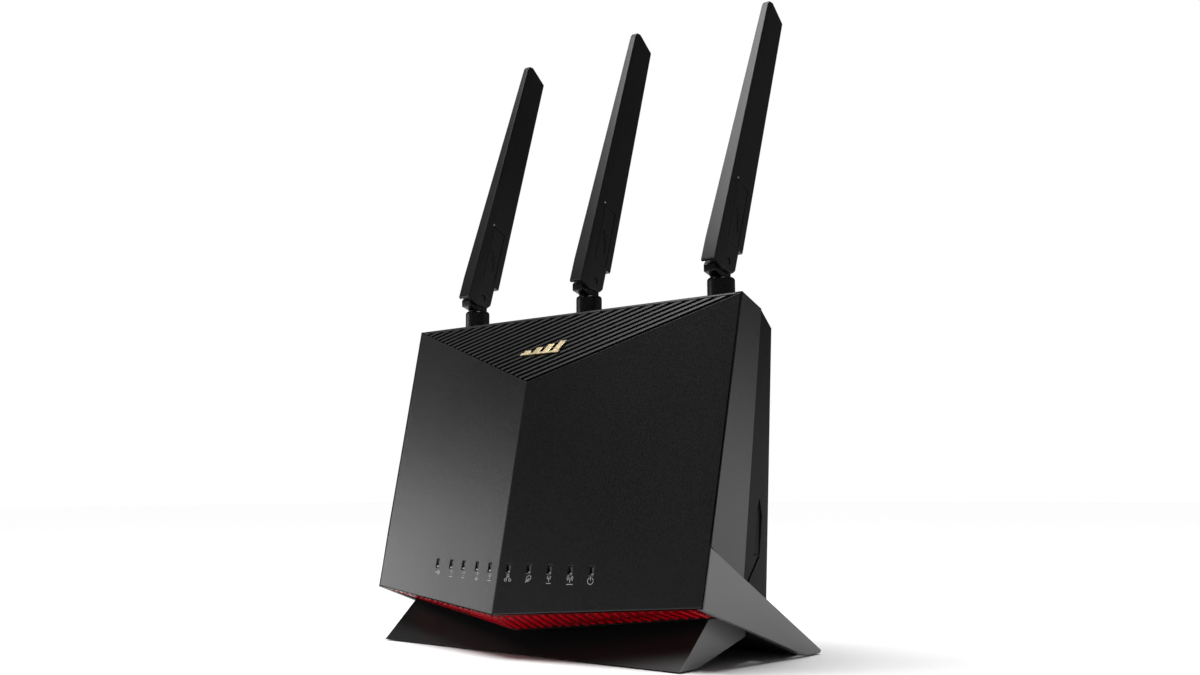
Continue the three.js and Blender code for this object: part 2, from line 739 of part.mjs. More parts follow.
const SIM_HALF = [7.2, 0.9];
const SIM_FRONT = [8.4, 1.9];
const SIM_BACK_Y = 18;
const SIM_CARD = { half: 4.6, y: [2.4, 11] }; // seat of the card in the carrier
const SIM_FACE = [-1.2, 0.4]; // front plate, measured from the tray's floor
const SIM_NOTCH = { radius: 1.4, inset: 2.6 };

function simTray(x) {
  const [w, h] = SIM_HALF;
  const [a, b] = SIM_FRONT;
  const carrier = block([x - w, SIM_BACK_Y, PORT_Z - h], [x + w, TRAY_FLOOR, PORT_Z + h]);
  const seat = block(
    [x - SIM_CARD.half, SIM_BACK_Y + SIM_CARD.y[0], PORT_Z - 0.1],
    [x + SIM_CARD.half, SIM_BACK_Y + SIM_CARD.y[1], PORT_Z + h + 1],
  );
  const face = block(
    [x - a, TRAY_FLOOR + SIM_FACE[0], PORT_Z - b],
    [x + a, TRAY_FLOOR + SIM_FACE[1], PORT_Z + b],
  );
  const notchX = x + a - SIM_NOTCH.inset;
  const notch = portBar(SIM_NOTCH.radius, notchX, TRAY_FLOOR - 0.1, TRAY_FLOOR + 2);
  return carrier.subtract(seat).add(face).subtract(notch);
}

function simHolder(x) {
  const [w, h] = SIM_HALF;
  const shell = GAP + 1.2;
  const outer = block(
    [x - w - shell, BOARD_CLEAR, PORT_Z - h - shell],
    [x + w + shell, TRAY_FLOOR - TRAY_WALL - GAP, PORT_Z + h + shell],
  );
  const inner = block(
    [x - w - GAP, SIM_BACK_Y - GAP, PORT_Z - h - GAP],
    [x + w + GAP, TRAY_FLOOR, PORT_Z + h + GAP],
  );
  return outer.subtract(inner);
}

function portTray() {
  const [w, h] = TRAY_HALF;
  const floorFront = TRAY_FLOOR - TRAY_WALL;
  let tray = block([-w, floorFront, PORT_Z - h], [w, TRAY_DEPTH_END, PORT_Z + h]);
  tray = tray.subtract(
    block(
      [-w + TRAY_WALL, TRAY_FLOOR, PORT_Z - h + TRAY_WALL],
      [w - TRAY_WALL, TRAY_DEPTH_END + 1, PORT_Z + h - TRAY_WALL],
    ),
  );
  const windows = {
    wan_jack: JACK_OUTER,
    lan_jack_1: JACK_OUTER,
    lan_jack_2: JACK_OUTER,
    lan_jack_3: JACK_OUTER,
    usb_socket: USB_OUTER,
    dc_inlet: DC_OUTER,
    sim_tray: SIM_FRONT,
  };
  for (const [name, [halfW, halfH]] of Object.entries(windows)) {
    const x = PORT_XS[name];
    tray = tray.subtract(
      block(
        [x - halfW - GAP, floorFront - 1, PORT_Z - halfH - GAP],
        [x + halfW + GAP, TRAY_FLOOR + 1, PORT_Z + halfH + GAP],
      ),
    );
  }
  const holes = { power_button: POWER_RADIUS, wps_button: WPS_RADIUS, reset_button: RESET_RADIUS };
  for (const [name, radius] of Object.entries(holes)) {
    const wide = radius + BUTTON_CLEARANCE;
    tray = tray.subtract(portBar(wide, PORT_XS[name], floorFront - 1, TRAY_FLOOR + 1));
  }
  return tray;
}

// ---------------------------------------------------------------- electronics
const BOARD_HALF = 90;
const BOARD_Z = [31, 146];
const HEATSINK = { half: 44, z: [78, 130], base: 2.6, height: 9, fins: 12, fin: 1.4 };

function mainBoard() {
  return block([-BOARD_HALF, BOARD_FRONT, BOARD_Z[0]], [BOARD_HALF, BOARD_REAR, BOARD_Z[1]]);
}

function heatsink() {
  const { half, base, height, fins, fin } = HEATSINK;
  const [low, high] = HEATSINK.z;
  const back = BOARD_FRONT - GAP;
  let sink = block([-half, back - base, low], [half, back, high]);
  for (let i = 0; i < fins; i += 1) {
    const left = -half + (i * (2 * half - fin)) / (fins - 1);
    sink = sink.add(block([left, back - height, low], [left + fin, back - base / 2, high]));
  }
  return sink;
}

const SHIELD = { x: [50, 82], z: [70, 112], height: 3 };

function shieldCan() {
  const back = BOARD_FRONT - GAP;
  return block(
    [SHIELD.x[0], back - SHIELD.height, SHIELD.z[0]],
    [SHIELD.x[1], back, SHIELD.z[1]],
  );
}

const LED_BOARD = { half: 58, halfHeight: 8, thickness: 1.2 };
const GUIDE_BAR = { half: 56, size: 1.6 };
const GUIDE_SETBACK = 0.9; // light guide tips end behind the panel's face

function ledBoard() {
  const front = LED_BAR_Y + GAP;
  return block(
    [-LED_BOARD.half, front, LED_Z - LED_BOARD.halfHeight],
    [LED_BOARD.half, front + LED_BOARD.thickness, LED_Z + LED_BOARD.halfHeight],
  );
}

function frontFaceY(x, z) {
  const normal = polygonNormal(FRONT_FACE);
  const base = new THREE.Vector3(...CREST_BOTTOM);
  return base.y - (normal.x * Math.abs(x) + normal.z * (z - base.z)) / normal.y;
}

function lightGuide() {
  const [width, height] = LED_WINDOW;
  const halfW = width / 2 - GAP;
  const halfH = height / 2 - GAP;
  const { half, size } = GUIDE_BAR;
  let guide = block([-half, LED_BAR_Y - size, LED_Z - size], [half, LED_BAR_Y, LED_Z + size]);
  for (const x of LED_XS) {
    const tip = frontFaceY(x, LED_Z) + GUIDE_SETBACK;
    guide = guide.add(
      block([x - halfW, tip, LED_Z - halfH], [x + halfW, LED_BAR_Y - size / 2, LED_Z + halfH]),
    );
  }
  return guide;
}

// ---------------------------------------------------------------- antenna sockets and leads
const SOCKET = { bottom: 148, top: 170.5, body: 4.2, nut: 4.6, thread: 3.1 };
const LEAD_RADIUS = 0.9;

function antennaSocket(x) {
  const { bottom, top, body, nut, thread } = SOCKET;
  const shelf = CUP_FLOOR - WALL - GAP;
  const nutLow = CUP_FLOOR + GAP;
  const nutHigh = BARREL_BOTTOM - GAP;
  return turned(
    [
      [0, bottom],
      [body, bottom],
      [body, shelf],
      [thread, shelf],
      [thread, nutLow],
      [nut, nutLow],
      [nut, nutHigh],
      [thread, nutHigh],
      [thread, top],
      [0, top],
    ],
    x,
    ANTENNA_Y,
  );
}

function coaxLead(x) {
  const route = new THREE.CatmullRomCurve3([
    new THREE.Vector3(x, ANTENNA_Y, SOCKET.bottom - GAP),
    new THREE.Vector3(x, ANTENNA_Y - 0.5, 141),
    new THREE.Vector3(x * 0.96, ANTENNA_Y - 7, 132),
    new THREE.Vector3(x * 0.92, BOARD_REAR + 2 * LEAD_RADIUS, 122),
  ]);
  const section = new THREE.Shape();
  section.absarc(0, 0, LEAD_RADIUS, 0, 2 * Math.PI);
  return solid(
    new THREE.ExtrudeGeometry(section, { steps: 14, extrudePath: route, curveSegments: 4 }),
  );
}

// ---------------------------------------------------------------- antennas
function antennaBarrel() {
  const bore = 3.6;
  const boreTop = 172;
  return turned(
    [
      [0, boreTop],
      [bore, boreTop],
      [bore, BARREL_BOTTOM],
      [BARREL_RADIUS - 0.6, BARREL_BOTTOM],
      [BARREL_RADIUS, BARREL_BOTTOM + 0.6],
      [BARREL_RADIUS, BARREL_TOP - 1.3],
      [BARREL_RADIUS - 0.9, BARREL_TOP],
      [0, BARREL_TOP],
    ],
    0,
    0,
  ).translate(0, 0, -PIVOT_Z);
}

// Hinge block on the barrel, beside the paddle's ear: a foot, an eye and a blunt nose.
const KNUCKLE_X = [-4.4, 2.3];
const KNUCKLE_OUTLINE = [
  [-8.5, -1.9],
  [-8.5, -5.3],
  [-3.2, -6.9],
  [-3.2, BARREL_TOP + GAP - PIVOT_Z],
  [5.4, BARREL_TOP + GAP - PIVOT_Z],
  [5.4, -1],
  [3.5, 4.2],
  [-3.5, 4.2],
];

function antennaKnuckle() {
  const body = profileAlongX(KNUCKLE_OUTLINE, ...KNUCKLE_X);
  const eye = bar(EYE_RADIUS, [KNUCKLE_X[0], 0, 0], [KNUCKLE_X[1], 0, 0], 24);
  return body.add(eye).subtract(pinHole());
}

function pinHole() {
  const reach = 2 * PADDLE_HALF_BOTTOM;
  return bar(PIN_RADIUS + GAP, [-reach, 0, 0], [reach, 0, 0]);
}

function antennaPin() {
  const half = PADDLE_HALF_BOTTOM - 0.4;
  return bar(PIN_RADIUS, [-half, 0, 0], [half, 0, 0]);
}

// Paddle frame: x across the thickness, y from the front edge to the rear edge, z along the length.
const EAR_OUTLINE = [[-10.7, -3.5], [-3.8, -5.6], [5.3, -4.3], [7, -2]];
const EAR_REAR_Y = 6.9;
const BLADE_START = 9.1; // the ear ends and the full width begins
const INLAY = [[-3.6, 11], [5.4, 11], [5.4, 42.3], [-3.6, 44]];
const INLAY_DEPTH = 0.9;
const INLAY_WINDOW = block([0, -1.5, 16], [PADDLE_HALF_BOTTOM - 1.2, 4, 40]); // opens the board slot
const RADIATOR = { half: 0.4, y: [-2, 4.5], z: [13, 146] };

function paddleHalfThickness(z) {
  const taper = (PADDLE_HALF_TOP - PADDLE_HALF_BOTTOM) / PADDLE_LENGTH;
  return PADDLE_HALF_BOTTOM + taper * z;
}

function inlayPiece(grow, depth, over) {
  const centre = [0.9, 27];
  const points = INLAY.flatMap(([y, z]) => {
    const wideY = y + Math.sign(y - centre[0]) * grow;
    const wideZ = z + Math.sign(z - centre[1]) * grow;
    const face = paddleHalfThickness(wideZ);
    return [
      [face + over, wideY, wideZ],
      [face - depth, wideY, wideZ],
    ];
  });
  return hull(points);
}

function antennaPaddle() {
  const half = PADDLE_HALF_BOTTOM;
  const tipHalf = PADDLE_HALF_TOP;
  const top = PADDLE_LENGTH;
  const blade = hull(
    bothSides([
      [4.1, -10.6, BLADE_START],
      [half, -4.2, BLADE_START],
      [half, 10.3, BLADE_START],
      [2, -5.3, top - 1.6],
      [2, -4.5, top + 0.4],
      [tipHalf + 0.1, -1.9, top + 1],
      [tipHalf, 10.3, top - 4.2],
    ]),
  );
  const earLow = EAR_OUTLINE.map(([y, z]) => [y < -6 ? 4.1 : half, y, z]);
  const earHigh = [
    [4.1, -10.6, BLADE_START],
    [half, -4.2, BLADE_START],
    [half, EAR_REAR_Y, BLADE_START],
  ];
  const ear = hull(bothSides([...earLow, [half, -4.2, -4], ...earHigh]));
  const hinge = block([-FAR, WEB_INNER_Y, -FAR], [EAR_INNER_X, FAR, HINGE_CEILING]);
  const boardSlot = block(
    [-RADIATOR.half - GAP, RADIATOR.y[0] - GAP, RADIATOR.z[0] - GAP],
    [RADIATOR.half + GAP, RADIATOR.y[1] + GAP, RADIATOR.z[1] + GAP],
  );
  return blade
    .add(ear)
    .subtract(hinge)
    .subtract(pinHole())
    .subtract(inlayPiece(GAP, INLAY_DEPTH + GAP, CUT_OVER))
    .subtract(boardSlot)
    .subtract(INLAY_WINDOW);
}

function radiatorBoard() {
  return block(
    [-RADIATOR.half, RADIATOR.y[0], RADIATOR.z[0]],
    [RADIATOR.half, RADIATOR.y[1], RADIATOR.z[1]],
  );
}

function addAntenna(side) {
  const base = new THREE.Group();
  base.position.set(ANTENNA_XS[side], ANTENNA_Y, PIVOT_Z);
  router.add(base);
  addPiece(`${side}_antenna_barrel`, antennaBarrel(), "antenna_black", base);
  addPiece(`${side}_antenna_knuckle`, antennaKnuckle(), "antenna_black", base);
  const blade = new THREE.Group();
  blade.rotation.x = -THREE.MathUtils.degToRad(ANTENNA_LEANS[side]);
  base.add(blade);
  addPiece(`${side}_antenna_paddle`, antennaPaddle(), "antenna_black", blade);
  addPiece(`${side}_antenna_inlay`, inlayPiece(0, INLAY_DEPTH, 0), "antenna_black", blade);
  addPiece(`${side}_antenna_pin`, antennaPin(), "steel", blade);
  addPiece(`${side}_antenna_radiator`, radiatorBoard(), "board_green", blade);
}

// ---------------------------------------------------------------- screws
function coverScrew(side, z) {
  const face = rearFaceY(z);
  const x = side * SCREW_X;
  const head = bar(3, [x, face - 1.1, z], [x, face - 0.1, z]);
  const shaft = bar(1.35, [x, 24, z], [x, face - 1, z]);
  return head.add(shaft);
}

// ---------------------------------------------------------------- assembly
addPiece("front_panel", frontPanel(), "front_black");
addPiece("top_grille", topGrille(), "grille_black");
addPiece("emblem", emblem(), "emblem_gold");
addPiece("bezel", bezel(), "shell_black");
addPiece("rear_cover", rearCover(), "shell_black");
addPiece("base_cover", baseCover(), "shell_black");
addPiece("accent_strip", accentStrip(), "accent_red");
addPiece("front_foot", frontFoot(), "stand_grey");
addPiece("rear_foot", rearFoot(), "stand_grey");
addPiece("right_cheek", cheek(0).subtract(panelSpace), "stand_grey");
addPiece("left_cheek", mirror(cheek(0).subtract(panelSpace)), "stand_grey");
for (const [sideName, side] of [["left", -1], ["right", 1]]) {
  for (const [endName, y] of Object.entries(PAD_YS)) {
    addPiece(`${endName}_${sideName}_pad`, pad(side, y), "rubber");
  }
  for (const [level, z] of Object.entries(SCREW_ZS)) {
    addPiece(`${level}_${sideName}_screw`, coverScrew(side, z), "steel");
  }
}

addPiece("port_tray", portTray(), "shell_black");
addPiece("wan_jack", networkJack(PORT_XS.wan_jack), "jack_blue");
for (const number of [1, 2, 3]) {
  const name = `lan_jack_${number}`;
  addPiece(name, networkJack(PORT_XS[name]), "jack_yellow");
}
addPiece("usb_socket", usbSocket(PORT_XS.usb_socket), "tin");
addPiece("dc_inlet", dcInlet(PORT_XS.dc_inlet), "jack_black");
addPiece("power_button", pushButton(PORT_XS.power_button, POWER_RADIUS, 2.4), "button_grey");
addPiece("wps_button", pushButton(PORT_XS.wps_button, WPS_RADIUS, 1.8), "button_grey");
addPiece("reset_button", resetButton(PORT_XS.reset_button), "button_grey");
addPiece("sim_tray", simTray(PORT_XS.sim_tray), "jack_black");
addPiece("sim_holder", simHolder(PORT_XS.sim_tray), "tin");

addPiece("main_board", mainBoard(), "board_green");
addPiece("heatsink", heatsink(), "aluminium");
addPiece("shield_can", shieldCan(), "tin");
addPiece("led_board", ledBoard(), "board_green");
addPiece("led_light_guide", lightGuide(), "clear");

for (const [side, x] of Object.entries(ANTENNA_XS)) {
  addPiece(`${side}_antenna_socket`, antennaSocket(x), "brass");
  addPiece(`${side}_coax_lead`, coaxLead(x), "jack_black");
  addAntenna(side);
}

// The origin is the middle of the bounding box's bottom face.
router.updateMatrixWorld(true);
const extent = new THREE.Box3().setFromObject(router, true);
const middle = extent.getCenter(new THREE.Vector3());
router.position.set(-middle.x, -middle.y, -extent.min.z);

export default router;
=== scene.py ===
import json
import math

import bmesh
import bpy
from mathutils import Matrix, Vector
from mathutils.bvhtree import BVHTree


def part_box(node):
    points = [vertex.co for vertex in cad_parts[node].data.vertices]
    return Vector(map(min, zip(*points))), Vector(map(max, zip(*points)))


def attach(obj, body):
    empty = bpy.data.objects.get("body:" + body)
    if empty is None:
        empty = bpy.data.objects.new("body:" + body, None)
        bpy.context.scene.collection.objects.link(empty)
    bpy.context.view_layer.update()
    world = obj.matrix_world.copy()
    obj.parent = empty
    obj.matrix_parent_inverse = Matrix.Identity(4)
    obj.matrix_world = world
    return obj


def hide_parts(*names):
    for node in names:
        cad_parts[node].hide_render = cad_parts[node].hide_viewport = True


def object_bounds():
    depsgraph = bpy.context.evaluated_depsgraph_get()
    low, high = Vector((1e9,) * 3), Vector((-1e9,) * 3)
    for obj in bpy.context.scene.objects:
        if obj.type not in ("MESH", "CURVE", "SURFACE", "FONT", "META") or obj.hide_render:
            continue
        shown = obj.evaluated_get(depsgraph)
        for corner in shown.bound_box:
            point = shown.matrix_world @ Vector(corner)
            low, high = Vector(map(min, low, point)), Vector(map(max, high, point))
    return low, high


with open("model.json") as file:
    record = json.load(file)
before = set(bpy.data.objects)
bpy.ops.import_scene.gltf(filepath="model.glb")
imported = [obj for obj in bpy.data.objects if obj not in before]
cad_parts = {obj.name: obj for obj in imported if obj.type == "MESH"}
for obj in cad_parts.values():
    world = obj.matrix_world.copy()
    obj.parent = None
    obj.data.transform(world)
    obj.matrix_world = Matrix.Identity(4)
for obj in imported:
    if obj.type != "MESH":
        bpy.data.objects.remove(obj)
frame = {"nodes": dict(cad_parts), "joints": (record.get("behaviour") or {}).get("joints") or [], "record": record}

MM = 0.001  # one millimetre in metres; named lengths are in millimetres where no comment says metres
CAD_LOW, CAD_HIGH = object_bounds()
BODY_OF = {n: body for body, names in frame["record"]["behaviour"]["bodies"].items() for n in names}
SIDES = ("left", "centre", "right")

# ---------------------------------------------------------------- camera
CAMERA_PLACE = Vector((409.3, -473.71, 78.4)) * MM
CAMERA_AZIMUTH = math.radians(39.97)
CAMERA_PITCH = math.radians(7.23)
CAMERA_ROLL = math.radians(-0.29)
CAMERA_SENSOR = CAMERA_LENS = 36  # millimetres
CAMERA_RANGE = (0.01, 50)  # metres


def place_camera():
    """A camera at a fixed place, turned by its azimuth, pitch and roll."""
    forward = Vector((
        -math.sin(CAMERA_AZIMUTH) * math.cos(CAMERA_PITCH),
        math.cos(CAMERA_AZIMUTH) * math.cos(CAMERA_PITCH),
        math.sin(CAMERA_PITCH),
    ))
    level = Vector((math.cos(CAMERA_AZIMUTH), math.sin(CAMERA_AZIMUTH), 0))
    upright = level.cross(forward)
    right = level * math.cos(CAMERA_ROLL) + upright * math.sin(CAMERA_ROLL)
    up = right.cross(forward)
    camera = bpy.data.objects.new("camera", bpy.data.cameras.new("camera"))
    bpy.context.scene.collection.objects.link(camera)
    turn = Matrix((right, up, -forward)).transposed().to_4x4()
    camera.matrix_world = Matrix.Translation(CAMERA_PLACE) @ turn
    camera.data.sensor_width = CAMERA_SENSOR
    camera.data.lens = CAMERA_LENS
    camera.data.clip_start, camera.data.clip_end = CAMERA_RANGE
    bpy.context.scene.camera = camera


# ---------------------------------------------------------------- materials
MIX_FACTOR, MIX_A, MIX_B, MIX_COLOUR = 0, 6, 7, 2  # sockets of a Mix node for colours


class Shader:
    """A Principled material and short calls for its nodes."""

    def __init__(self, name):
        self.material = bpy.data.materials.new(name)
        self.material.use_nodes = True
        self.tree = self.material.node_tree
        self.bsdf = self.tree.nodes["Principled BSDF"]
        self.coord = self.tree.nodes.new("ShaderNodeTexCoord").outputs["Object"]

    def join(self, source, target):
        self.tree.links.new(source, target)

    def stretched(self, scale):
        node = self.tree.nodes.new("ShaderNodeMapping")
        node.inputs["Scale"].default_value = scale
        self.join(self.coord, node.inputs["Vector"])
        return node.outputs["Vector"]

    def noise(self, scale, detail=2.0, roughness=0.5, vector=None):
        node = self.tree.nodes.new("ShaderNodeTexNoise")
        node.inputs["Scale"].default_value = scale
        node.inputs["Detail"].default_value = detail
        node.inputs["Roughness"].default_value = roughness
        self.join(vector or self.coord, node.inputs["Vector"])
        return node.outputs["Fac"]

    def cell_edges(self, scale):
        node = self.tree.nodes.new("ShaderNodeTexVoronoi")
        node.feature = "DISTANCE_TO_EDGE"
        node.inputs["Scale"].default_value = scale
        self.join(self.coord, node.inputs["Vector"])
        return node.outputs["Distance"]

    def spread(self, value, low, high, start=0.3, end=0.7):
        node = self.tree.nodes.new("ShaderNodeMapRange")
        node.inputs["From Min"].default_value = start
        node.inputs["From Max"].default_value = end
        node.inputs["To Min"].default_value = low
        node.inputs["To Max"].default_value = high
        self.join(value, node.inputs["Value"])
        return node.outputs["Result"]

    def math(self, operation, a, b):
        node = self.tree.nodes.new("ShaderNodeMath")
        node.operation = operation
        for socket, value in zip(node.inputs, (a, b)):
            if isinstance(value, (int, float)):
                socket.default_value = value
            else:
                self.join(value, socket)
        return node.outputs[0]

    def mix(self, factor, a, b):
        node = self.tree.nodes.new("ShaderNodeMix")
        node.data_type = "RGBA"
        self.join(factor, node.inputs[MIX_FACTOR])
        for socket, value in ((node.inputs[MIX_A], a), (node.inputs[MIX_B], b)):
            if isinstance(value, tuple):
                socket.default_value = (*value, 1)
            else:
                self.join(value, socket)
        return node.outputs[MIX_COLOUR]

    def bump(self, height, distance):
        """Bumps of the height field; distance is their full height in millimetres."""
        node = self.tree.nodes.new("ShaderNodeBump")
        node.inputs["Strength"].default_value = 1.0
        node.inputs["Distance"].default_value = distance * MM
        self.join(height, node.inputs["Height"])
        return node.outputs["Normal"]

    def fixed(self, **values):
        for socket, value in values.items():
            self.bsdf.inputs[socket.replace("_", " ")].default_value = value

    def drive(self, socket, source):
        self.join(source, self.bsdf.inputs[socket])


def shade(colour, factor):
    return tuple(min(1.0, c * factor) for c in colour)


CLOUD_SCALE = 9.0  # broad changes of tone over the whole part
CLOUD_SHARE = 0.35  # how much of them shows
CLOUD_TONE = 0.7  # times the grain's own change of tone
MID_GRAIN = 5  # times the fine grain
MID_SHARE = 0.6  # of the fine grain's height
FINE_ROUGHNESS = 0.05  # how far the grain and the clouds change the roughness, up and down
CLOUD_ROUGHNESS = 0.03


def moulded(name, colour, roughness, grain=0.45, depth=0.02, tone=0.25, gloss=0.5):
    """Moulded plastic with an eroded grain: grain is its size and depth its height, in millimetres."""
    s = Shader(name)
    fine = s.noise(1 / (grain * MM), detail=3.0, roughness=0.6)
    mid = s.noise(1 / (grain * MID_GRAIN * MM))
    broad = s.noise(CLOUD_SCALE)
    speck = s.mix(s.spread(fine, 0, 1), shade(colour, 1 - tone), shade(colour, 1 + tone))
    pale = shade(colour, 1 + tone * CLOUD_TONE)
    s.drive("Base Color", s.mix(s.spread(broad, 0, CLOUD_SHARE), speck, pale))
    fine_rough = s.spread(fine, roughness - FINE_ROUGHNESS, roughness + FINE_ROUGHNESS)
    broad_rough = s.spread(broad, -CLOUD_ROUGHNESS, CLOUD_ROUGHNESS)
    s.drive("Roughness", s.math("ADD", fine_rough, broad_rough))
    height = s.math("ADD", fine, s.math("MULTIPLY", mid, MID_SHARE))
    s.drive("Normal", s.bump(height, depth))
    s.fixed(Specular_IOR_Level=gloss)
    return s.material


STAIN_SCALE = 60
METAL_TONES = (0.82, 1.08)  # shares of the metal's colour, stained and clean
LINE_ROUGHNESS = (-0.06, 0.08)
STAIN_ROUGHNESS = (-0.04, 0.06)
LINE_DEPTH = 0.004  # millimetres


def metal(name, colour, roughness, direction=(1, 1, 12), scale=900):
    """Rolled or drawn metal with fine lines along one axis."""
    s = Shader(name)
    lines = s.noise(scale, detail=3.0, roughness=0.6, vector=s.stretched(direction))
    stain = s.noise(STAIN_SCALE, detail=3.0, roughness=0.6)
    dull, clean = (shade(colour, tone) for tone in METAL_TONES)
    s.drive("Base Color", s.mix(s.spread(stain, 0, 1), dull, clean))
    smooth, coarse = (roughness + change for change in LINE_ROUGHNESS)
    s.drive("Roughness", s.math("ADD", s.spread(lines, smooth, coarse), s.spread(stain, *STAIN_ROUGHNESS)))
    s.drive("Normal", s.bump(lines, LINE_DEPTH))
    s.fixed(Metallic=1.0)
    return s.material


def two_tone(name, tones, roughness, scale, depth, detail=2.0, grit=0.5):
    """The Shader of a surface clouded between two tones and two roughnesses; depth in millimetres."""
    s = Shader(name)
    shadow, light = tones
    cloud = s.noise(scale, detail, grit)
    s.drive("Base Color", s.mix(s.spread(cloud, 0, 1), shadow, light))
    s.drive("Roughness", s.spread(cloud, *roughness))
    s.drive("Normal", s.bump(cloud, depth))
    return s


ACCENT_CLOUD = 90
ACCENT_GRAIN = 1500
ACCENT_ROUGHNESS = (0.16, 0.24)
ACCENT_DEPTH = 0.006  # millimetres


def accent_material(name, shadow, light):
    """Glossy red plastic: clouded colour, with a finer grain of its own."""
    s = Shader(name)
    fine = s.noise(ACCENT_GRAIN)
    s.drive("Base Color", s.mix(s.spread(s.noise(ACCENT_CLOUD), 0, 1), shadow, light))
    s.drive("Roughness", s.spread(fine, *ACCENT_ROUGHNESS))
    s.drive("Normal", s.bump(fine, ACCENT_DEPTH))
    s.fixed(Specular_IOR_Level=0.5)
    return s.material


BOARD_CELLS = 420
BOARD_GRAIN = 2500
TRACK_EDGE = (0.02, 0.06)  # where a track starts and is full, from a cell's edge


def board_material():
    """Green solder mask over copper tracks, which lie between the cells of a pattern."""
    s = Shader("board_green")
    copper = s.spread(s.cell_edges(BOARD_CELLS), 1, 0, *TRACK_EDGE)
    s.drive("Base Color", s.mix(copper, (0.006, 0.05, 0.02), (0.02, 0.14, 0.06)))
    s.drive("Roughness", s.spread(s.noise(BOARD_GRAIN), 0.3, 0.45))
    s.drive("Normal", s.bump(copper, 0.05))
    return s.material


def rubber_material():
    tones = ((0.006, 0.006, 0.006), (0.02, 0.02, 0.02))
    s = two_tone("rubber", tones, (0.75, 0.95), scale=1400, depth=0.08, detail=4.0, grit=0.7)
    return s.material


def lens_material(name, colour, roughness):
    tones = (shade(colour, 0.85), colour)
    return two_tone(name, tones, (roughness, roughness + 0.1), scale=700, depth=0.01).material


def floor_material():
    tones = ((0.93, 0.93, 0.93), (0.96, 0.96, 0.96))
    s = two_tone("studio_floor", tones, (0.75, 0.9), scale=600, depth=0.05, detail=4.0, grit=0.6)
    s.fixed(Specular_IOR_Level=0.2)
    return s.material


RED = ((0.32, 0.0, 0.005), (0.40, 0.0, 0.007))
# a darker copy of the ribs' red for the strip they stand on: painted shade between the ribs
SHADED_RED = ((0.10, 0.0, 0.001), (0.13, 0.0, 0.002))
# Moulded plastics: linear colour, roughness, grain size and depth in millimetres, tone and gloss;
# the last two may be left out.
MOULDED = {
    "front_black": ((0.006, 0.006, 0.0062), 0.36, 0.7, 0.07, 0.5, 0.36),
    "shell_black": ((0.0065, 0.0065, 0.0067), 0.35, 0.6, 0.04, 0.3, 0.46),
    "rear_black": ((0.0028, 0.0028, 0.0029), 0.46, 0.6, 0.03, 0.3, 0.1),
    "grille_black": ((0.012, 0.012, 0.0122), 0.32, 0.4, 0.01, 0.2, 0.4),
    "stand_grey": ((0.135, 0.135, 0.136), 0.36, 0.5, 0.025, 0.12),
    "foot_black": ((0.007, 0.007, 0.0072), 0.38, 0.5, 0.015, 0.2, 0.3),
    # the grille's groove floor: the grille plastic darkened as painted shade between the ribs
    "painted_groove_shade": ((0.002, 0.002, 0.0021), 0.6, 0.4, 0.01, 0.2, 0.08),
    "antenna_black": ((0.005, 0.005, 0.0051), 0.36, 0.45, 0.015, 0.25, 0.42),
    "hinge_black": ((0.003, 0.003, 0.0031), 0.26, 0.45, 0.006, 0.25, 0.4),
    "jack_black": ((0.012, 0.012, 0.012), 0.4, 0.3, 0.01),
    "jack_blue": ((0.015, 0.10, 0.38), 0.4, 0.3, 0.01),
    "jack_yellow": ((0.68, 0.38, 0.02), 0.4, 0.3, 0.01),
    "button_grey": ((0.07, 0.07, 0.072), 0.4, 0.3, 0.01),
}
# Metals: linear colour, roughness, how its lines shrink along x, y and z, and their scale; the last
# two may be left out.
METALS = {
    "aluminium": ((0.72, 0.73, 0.75), 0.35),
    "tin": ((0.78, 0.78, 0.76), 0.28, (1, 1, 8)),
    "brass": ((0.8, 0.6, 0.25), 0.25, (1, 1, 10)),
    "steel": ((0.42, 0.42, 0.44), 0.3, (1, 8, 1)),
    "emblem_gold": ((0.76, 0.63, 0.38), 0.3, (10, 1, 1), 700),
}
# Clear and printed surfaces: linear colour and roughness.
LENSES = {
    "clear": ((0.012, 0.012, 0.013), 0.12),
    "lamp_lens": ((0.5, 0.5, 0.48), 0.3),
    "symbol_grey": ((0.42, 0.42, 0.43), 0.5),
}
MATERIALS = {
    **{name: moulded(name, *recipe) for name, recipe in MOULDED.items()},
    **{name: metal(name, *recipe) for name, recipe in METALS.items()},
    **{name: lens_material(name, *recipe) for name, recipe in LENSES.items()},
    "accent_red": accent_material("accent_red", *RED),
    "accent_painted_shade": accent_material("accent_painted_shade", *SHADED_RED),
    "rubber": rubber_material(),
    "board_green": board_material(),
}


# ---------------------------------------------------------------- making pieces
WELD = 0.002 * MM  # corners this close are one
FLAT = math.radians(0.6)  # faces that turn by less are one flat region
FAR = 0.2  # metres from the middle, outside the body, where rays to it start
ROUND_SIDES, SMALL_SIDES = 96, 24  # of turned pieces
FORWARD, BACKWARD = Vector((0, -1, 0)), Vector((0, 1, 0))
LEFTWARD, UPWARD = Vector((-1, 0, 0)), Vector((0, 0, 1))


def add_piece(name, bm, material, body, nodes=(), smooth=35, more=()):
    """Makes the mesh an object that rides on a body and stands for the CAD nodes named."""
    mesh = bpy.data.meshes.new(name)
    bmesh.ops.recalc_face_normals(bm, faces=bm.faces)
    bm.to_mesh(mesh)
    bm.free()
    mesh.shade_smooth()
    mesh.set_sharp_from_angle(angle=math.radians(smooth))
    for key in (material, *more):
        mesh.materials.append(MATERIALS[key])
    piece = bpy.data.objects.new(name, mesh)
    bpy.context.scene.collection.objects.link(piece)
    weighted = piece.modifiers.new("weighted", "WEIGHTED_NORMAL")
    weighted.keep_sharp = True
    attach(piece, body)
    if nodes:
        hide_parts(*nodes)
    return piece


